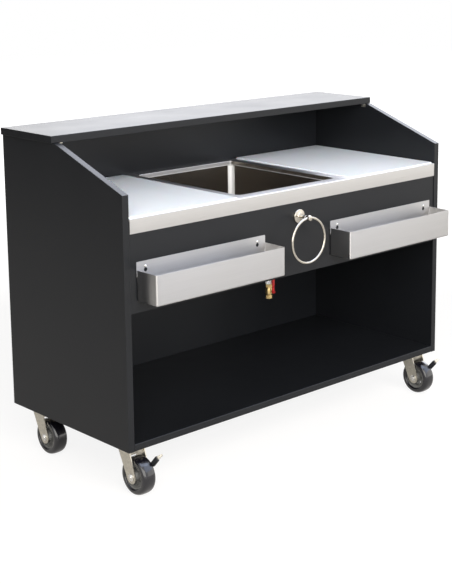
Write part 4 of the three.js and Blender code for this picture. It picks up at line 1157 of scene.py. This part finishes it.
# Name, place, height aimed at, size, power, colour, and whether only reflections see it.
LAMPS = (
    ("sky_panel", (-2.4, -5.6, 3.7), 0.8, (8.0, 5.0), 970, "#f8f9fd", False),
    ("rear_card", (4.6, 3.4, 3.2), 1.0, (8.0, 6.0), 215, "#f7f6f7", True),
    ("high_card", (4.8, 3.1, 5.0), 1.0, (7.0, 3.6), 250, "#e3eaff", True),
    ("overhead_card", (0.0, -0.6, 5.6), 0.8, (7.0, 5.0), 230, "#c8daff", True),
    ("front_sky_card", (3.2, -4.2, 4.6), 0.8, (7.0, 4.0), 105, "#bcd3ff", True),
    ("left_card", (-4.4, -4.8, 2.8), 0.8, (9.0, 5.0), 310, "#fdfaf4", True),
    ("front_card", (3.6, -3.8, 1.0), 0.8, (5.0, 2.8), 31, "#fffaf2", True),
)


def seen_share(tree, direct, mirrored):
    """One share for what the camera sees, one for mirrored and see-through views, none for other light."""
    path = add(tree, "ShaderNodeLightPath")
    rays = ("Camera", "Glossy", "Transmission")
    camera, glossy, through = [path.outputs[f"Is {ray} Ray"] for ray in rays]
    either = add(tree, "ShaderNodeMath", {0: glossy, 1: through}, operation="MAXIMUM")
    faint = add(tree, "ShaderNodeMath", {0: either.outputs[0], 1: mirrored}, operation="MULTIPLY")
    share = {0: camera, 1: direct, 2: faint.outputs[0]}
    return add(tree, "ShaderNodeMath", share, operation="MULTIPLY_ADD").outputs[0]


def pale_room(scene):
    # White to look at, but a weak light: the panels and cards do the lighting.
    world = bpy.data.worlds.new("pale_room")
    scene.world = world
    world.use_nodes = True
    tree = world.node_tree
    share = seen_share(tree, 1.0, 1.0)
    strength = add(tree, "ShaderNodeMapRange", {"Value": share, "To Min": 0.2, "To Max": 1.0})
    background = tree.nodes["Background"]
    background.inputs["Color"].default_value = (1, 1, 1, 1)
    tree.links.new(strength.outputs["Result"], background.inputs["Strength"])


def square_plane(scene, name, half, look):
    """A square plane about the origin."""
    mesh = bmesh.new()
    bmesh.ops.create_grid(mesh, x_segments=1, y_segments=1, size=half)
    data = bpy.data.meshes.new(name)
    mesh.to_mesh(data)
    mesh.free()
    data.materials.append(look)
    made = bpy.data.objects.new(name, data)
    scene.collection.objects.link(made)
    return made


def studio_floor(scene):
    # Pale painted board: it takes a soft shadow near the bar and runs out into the white room.
    made, tree, shader, place = surface("pale_floor_paint", finishes().floor, Roughness=0.9)
    reach = add(tree, "ShaderNodeVectorMath", {0: place}, operation="LENGTH").outputs["Value"]
    fading = {"Value": reach, "From Min": 2.0, "From Max": 5.0, "To Min": 0.62, "To Max": 1.0}
    fade = add(tree, "ShaderNodeMapRange", fading)
    glow = add(tree, "ShaderNodeEmission", {"Color": (1, 1, 1, 1), "Strength": 1.38})
    share = seen_share(tree, fade.outputs["Result"], 0.15)
    mixed = add(tree, "ShaderNodeMixShader", {0: share, 1: shader.outputs[0], 2: glow.outputs[0]})
    tree.links.new(mixed.outputs[0], tree.nodes["Material Output"].inputs["Surface"])
    floor = square_plane(scene, "studio_floor", 14.0, made)


def black_screen(scene):
    # A dull black screen that only reflections see: it keeps the faces turned to the left dark.
    felt = surface("black_felt", (0.01, 0.01, 0.01), Roughness=1.0)[0]
    screen = square_plane(scene, "black_screen", 3.0, felt)
    place, aim = Vector((-4.4, 4.0, 2.4)), Vector((0.0, 0.0, 0.8))
    screen.location = place
    screen.rotation_euler = (aim - place).to_track_quat("Z", "Y").to_euler()
    screen.visible_camera = False
    screen.visible_diffuse = False
    screen.visible_shadow = False


def area_lamp(scene, name, place, aim, size, power, hex_colour, reflected):
    data = bpy.data.lights.new(name, "AREA")
    data.shape = "RECTANGLE"
    data.size, data.size_y = size
    data.energy = power
    data.color = linear(hex_colour)
    lamp = bpy.data.objects.new(name, data)
    lamp.location = place
    ahead = Vector((0.0, 0.0, aim)) - Vector(place)
    lamp.rotation_euler = ahead.to_track_quat("-Z", "Y").to_euler()
    lamp.visible_camera = False
    lamp.visible_diffuse = not reflected
    lamp.visible_glossy = reflected
    scene.collection.objects.link(lamp)


def photo_camera(scene):
    # A long lens a little above the worktop, to the left of the bar, with its picture shifted.
    place = (-3.1338, -3.4235, 1.7435)
    yaw, pitch, roll = 0.7669, -0.1855, -0.0045
    data = bpy.data.cameras.new("photo_camera")
    data.sensor_width = 36.0
    data.lens = 80.32
    data.shift_x = -0.0869
    data.shift_y = -0.1739
    data.clip_end = 60.0
    camera = bpy.data.objects.new("photo_camera", data)
    turn = Matrix.Rotation(-yaw, 4, "Z") @ Matrix.Rotation(math.pi / 2 + pitch, 4, "X")
    camera.matrix_world = Matrix.Translation(place) @ turn @ Matrix.Rotation(roll, 4, "Z")
    scene.collection.objects.link(camera)
    scene.camera = camera


class BAR_OT_stage(bpy.types.Operator):
    """Lay the pale floor, hang the soft lights and set the camera"""

    bl_idname = "bar.stage"
    bl_label = "Stage"

    def execute(self, context):
        scene = context.scene
        scene.view_settings.view_transform = "Standard"
        pale_room(scene)
        studio_floor(scene)
        for lamp in LAMPS:
            area_lamp(scene, *lamp)
        black_screen(scene)
        photo_camera(scene)
        return {"FINISHED"}


class BAR_PT_panel(bpy.types.Panel):
    """Lists the bar's pieces, sizes and colours"""

    bl_label = "Portable Bar"
    bl_idname = "BAR_PT_panel"
    bl_space_type = "VIEW_3D"
    bl_region_type = "UI"
    bl_category = "Bar"

    def draw(self, context):
        for operator in OPERATORS:
            self.layout.operator(operator.bl_idname)
        for group in (context.scene.bar_sizes, context.scene.bar_finishes):
            column = self.layout.column(align=True)
            for name in group.__annotations__:
                column.prop(group, name)


OPERATORS = (
    BAR_OT_cabinet, BAR_OT_worktop, BAR_OT_sink, BAR_OT_boards, BAR_OT_speed_rails, BAR_OT_towel_ring,
    BAR_OT_valve, BAR_OT_casters, BAR_OT_stage,
)
CLASSES = (BarFinishes, BarSizes, *OPERATORS, BAR_PT_panel)


def register():
    for cls in CLASSES:
        bpy.utils.register_class(cls)
    bpy.types.Scene.bar_finishes = bpy.props.PointerProperty(type=BarFinishes)
    bpy.types.Scene.bar_sizes = bpy.props.PointerProperty(type=BarSizes)


def unregister():
    del bpy.types.Scene.bar_sizes
    del bpy.types.Scene.bar_finishes
    for cls in reversed(CLASSES):
        bpy.utils.unregister_class(cls)


def main():
    register()
    for operator in OPERATORS:
        group, name = operator.bl_idname.split(".")
        getattr(getattr(bpy.ops, group), name)()


if __name__ == "__main__":
    main()
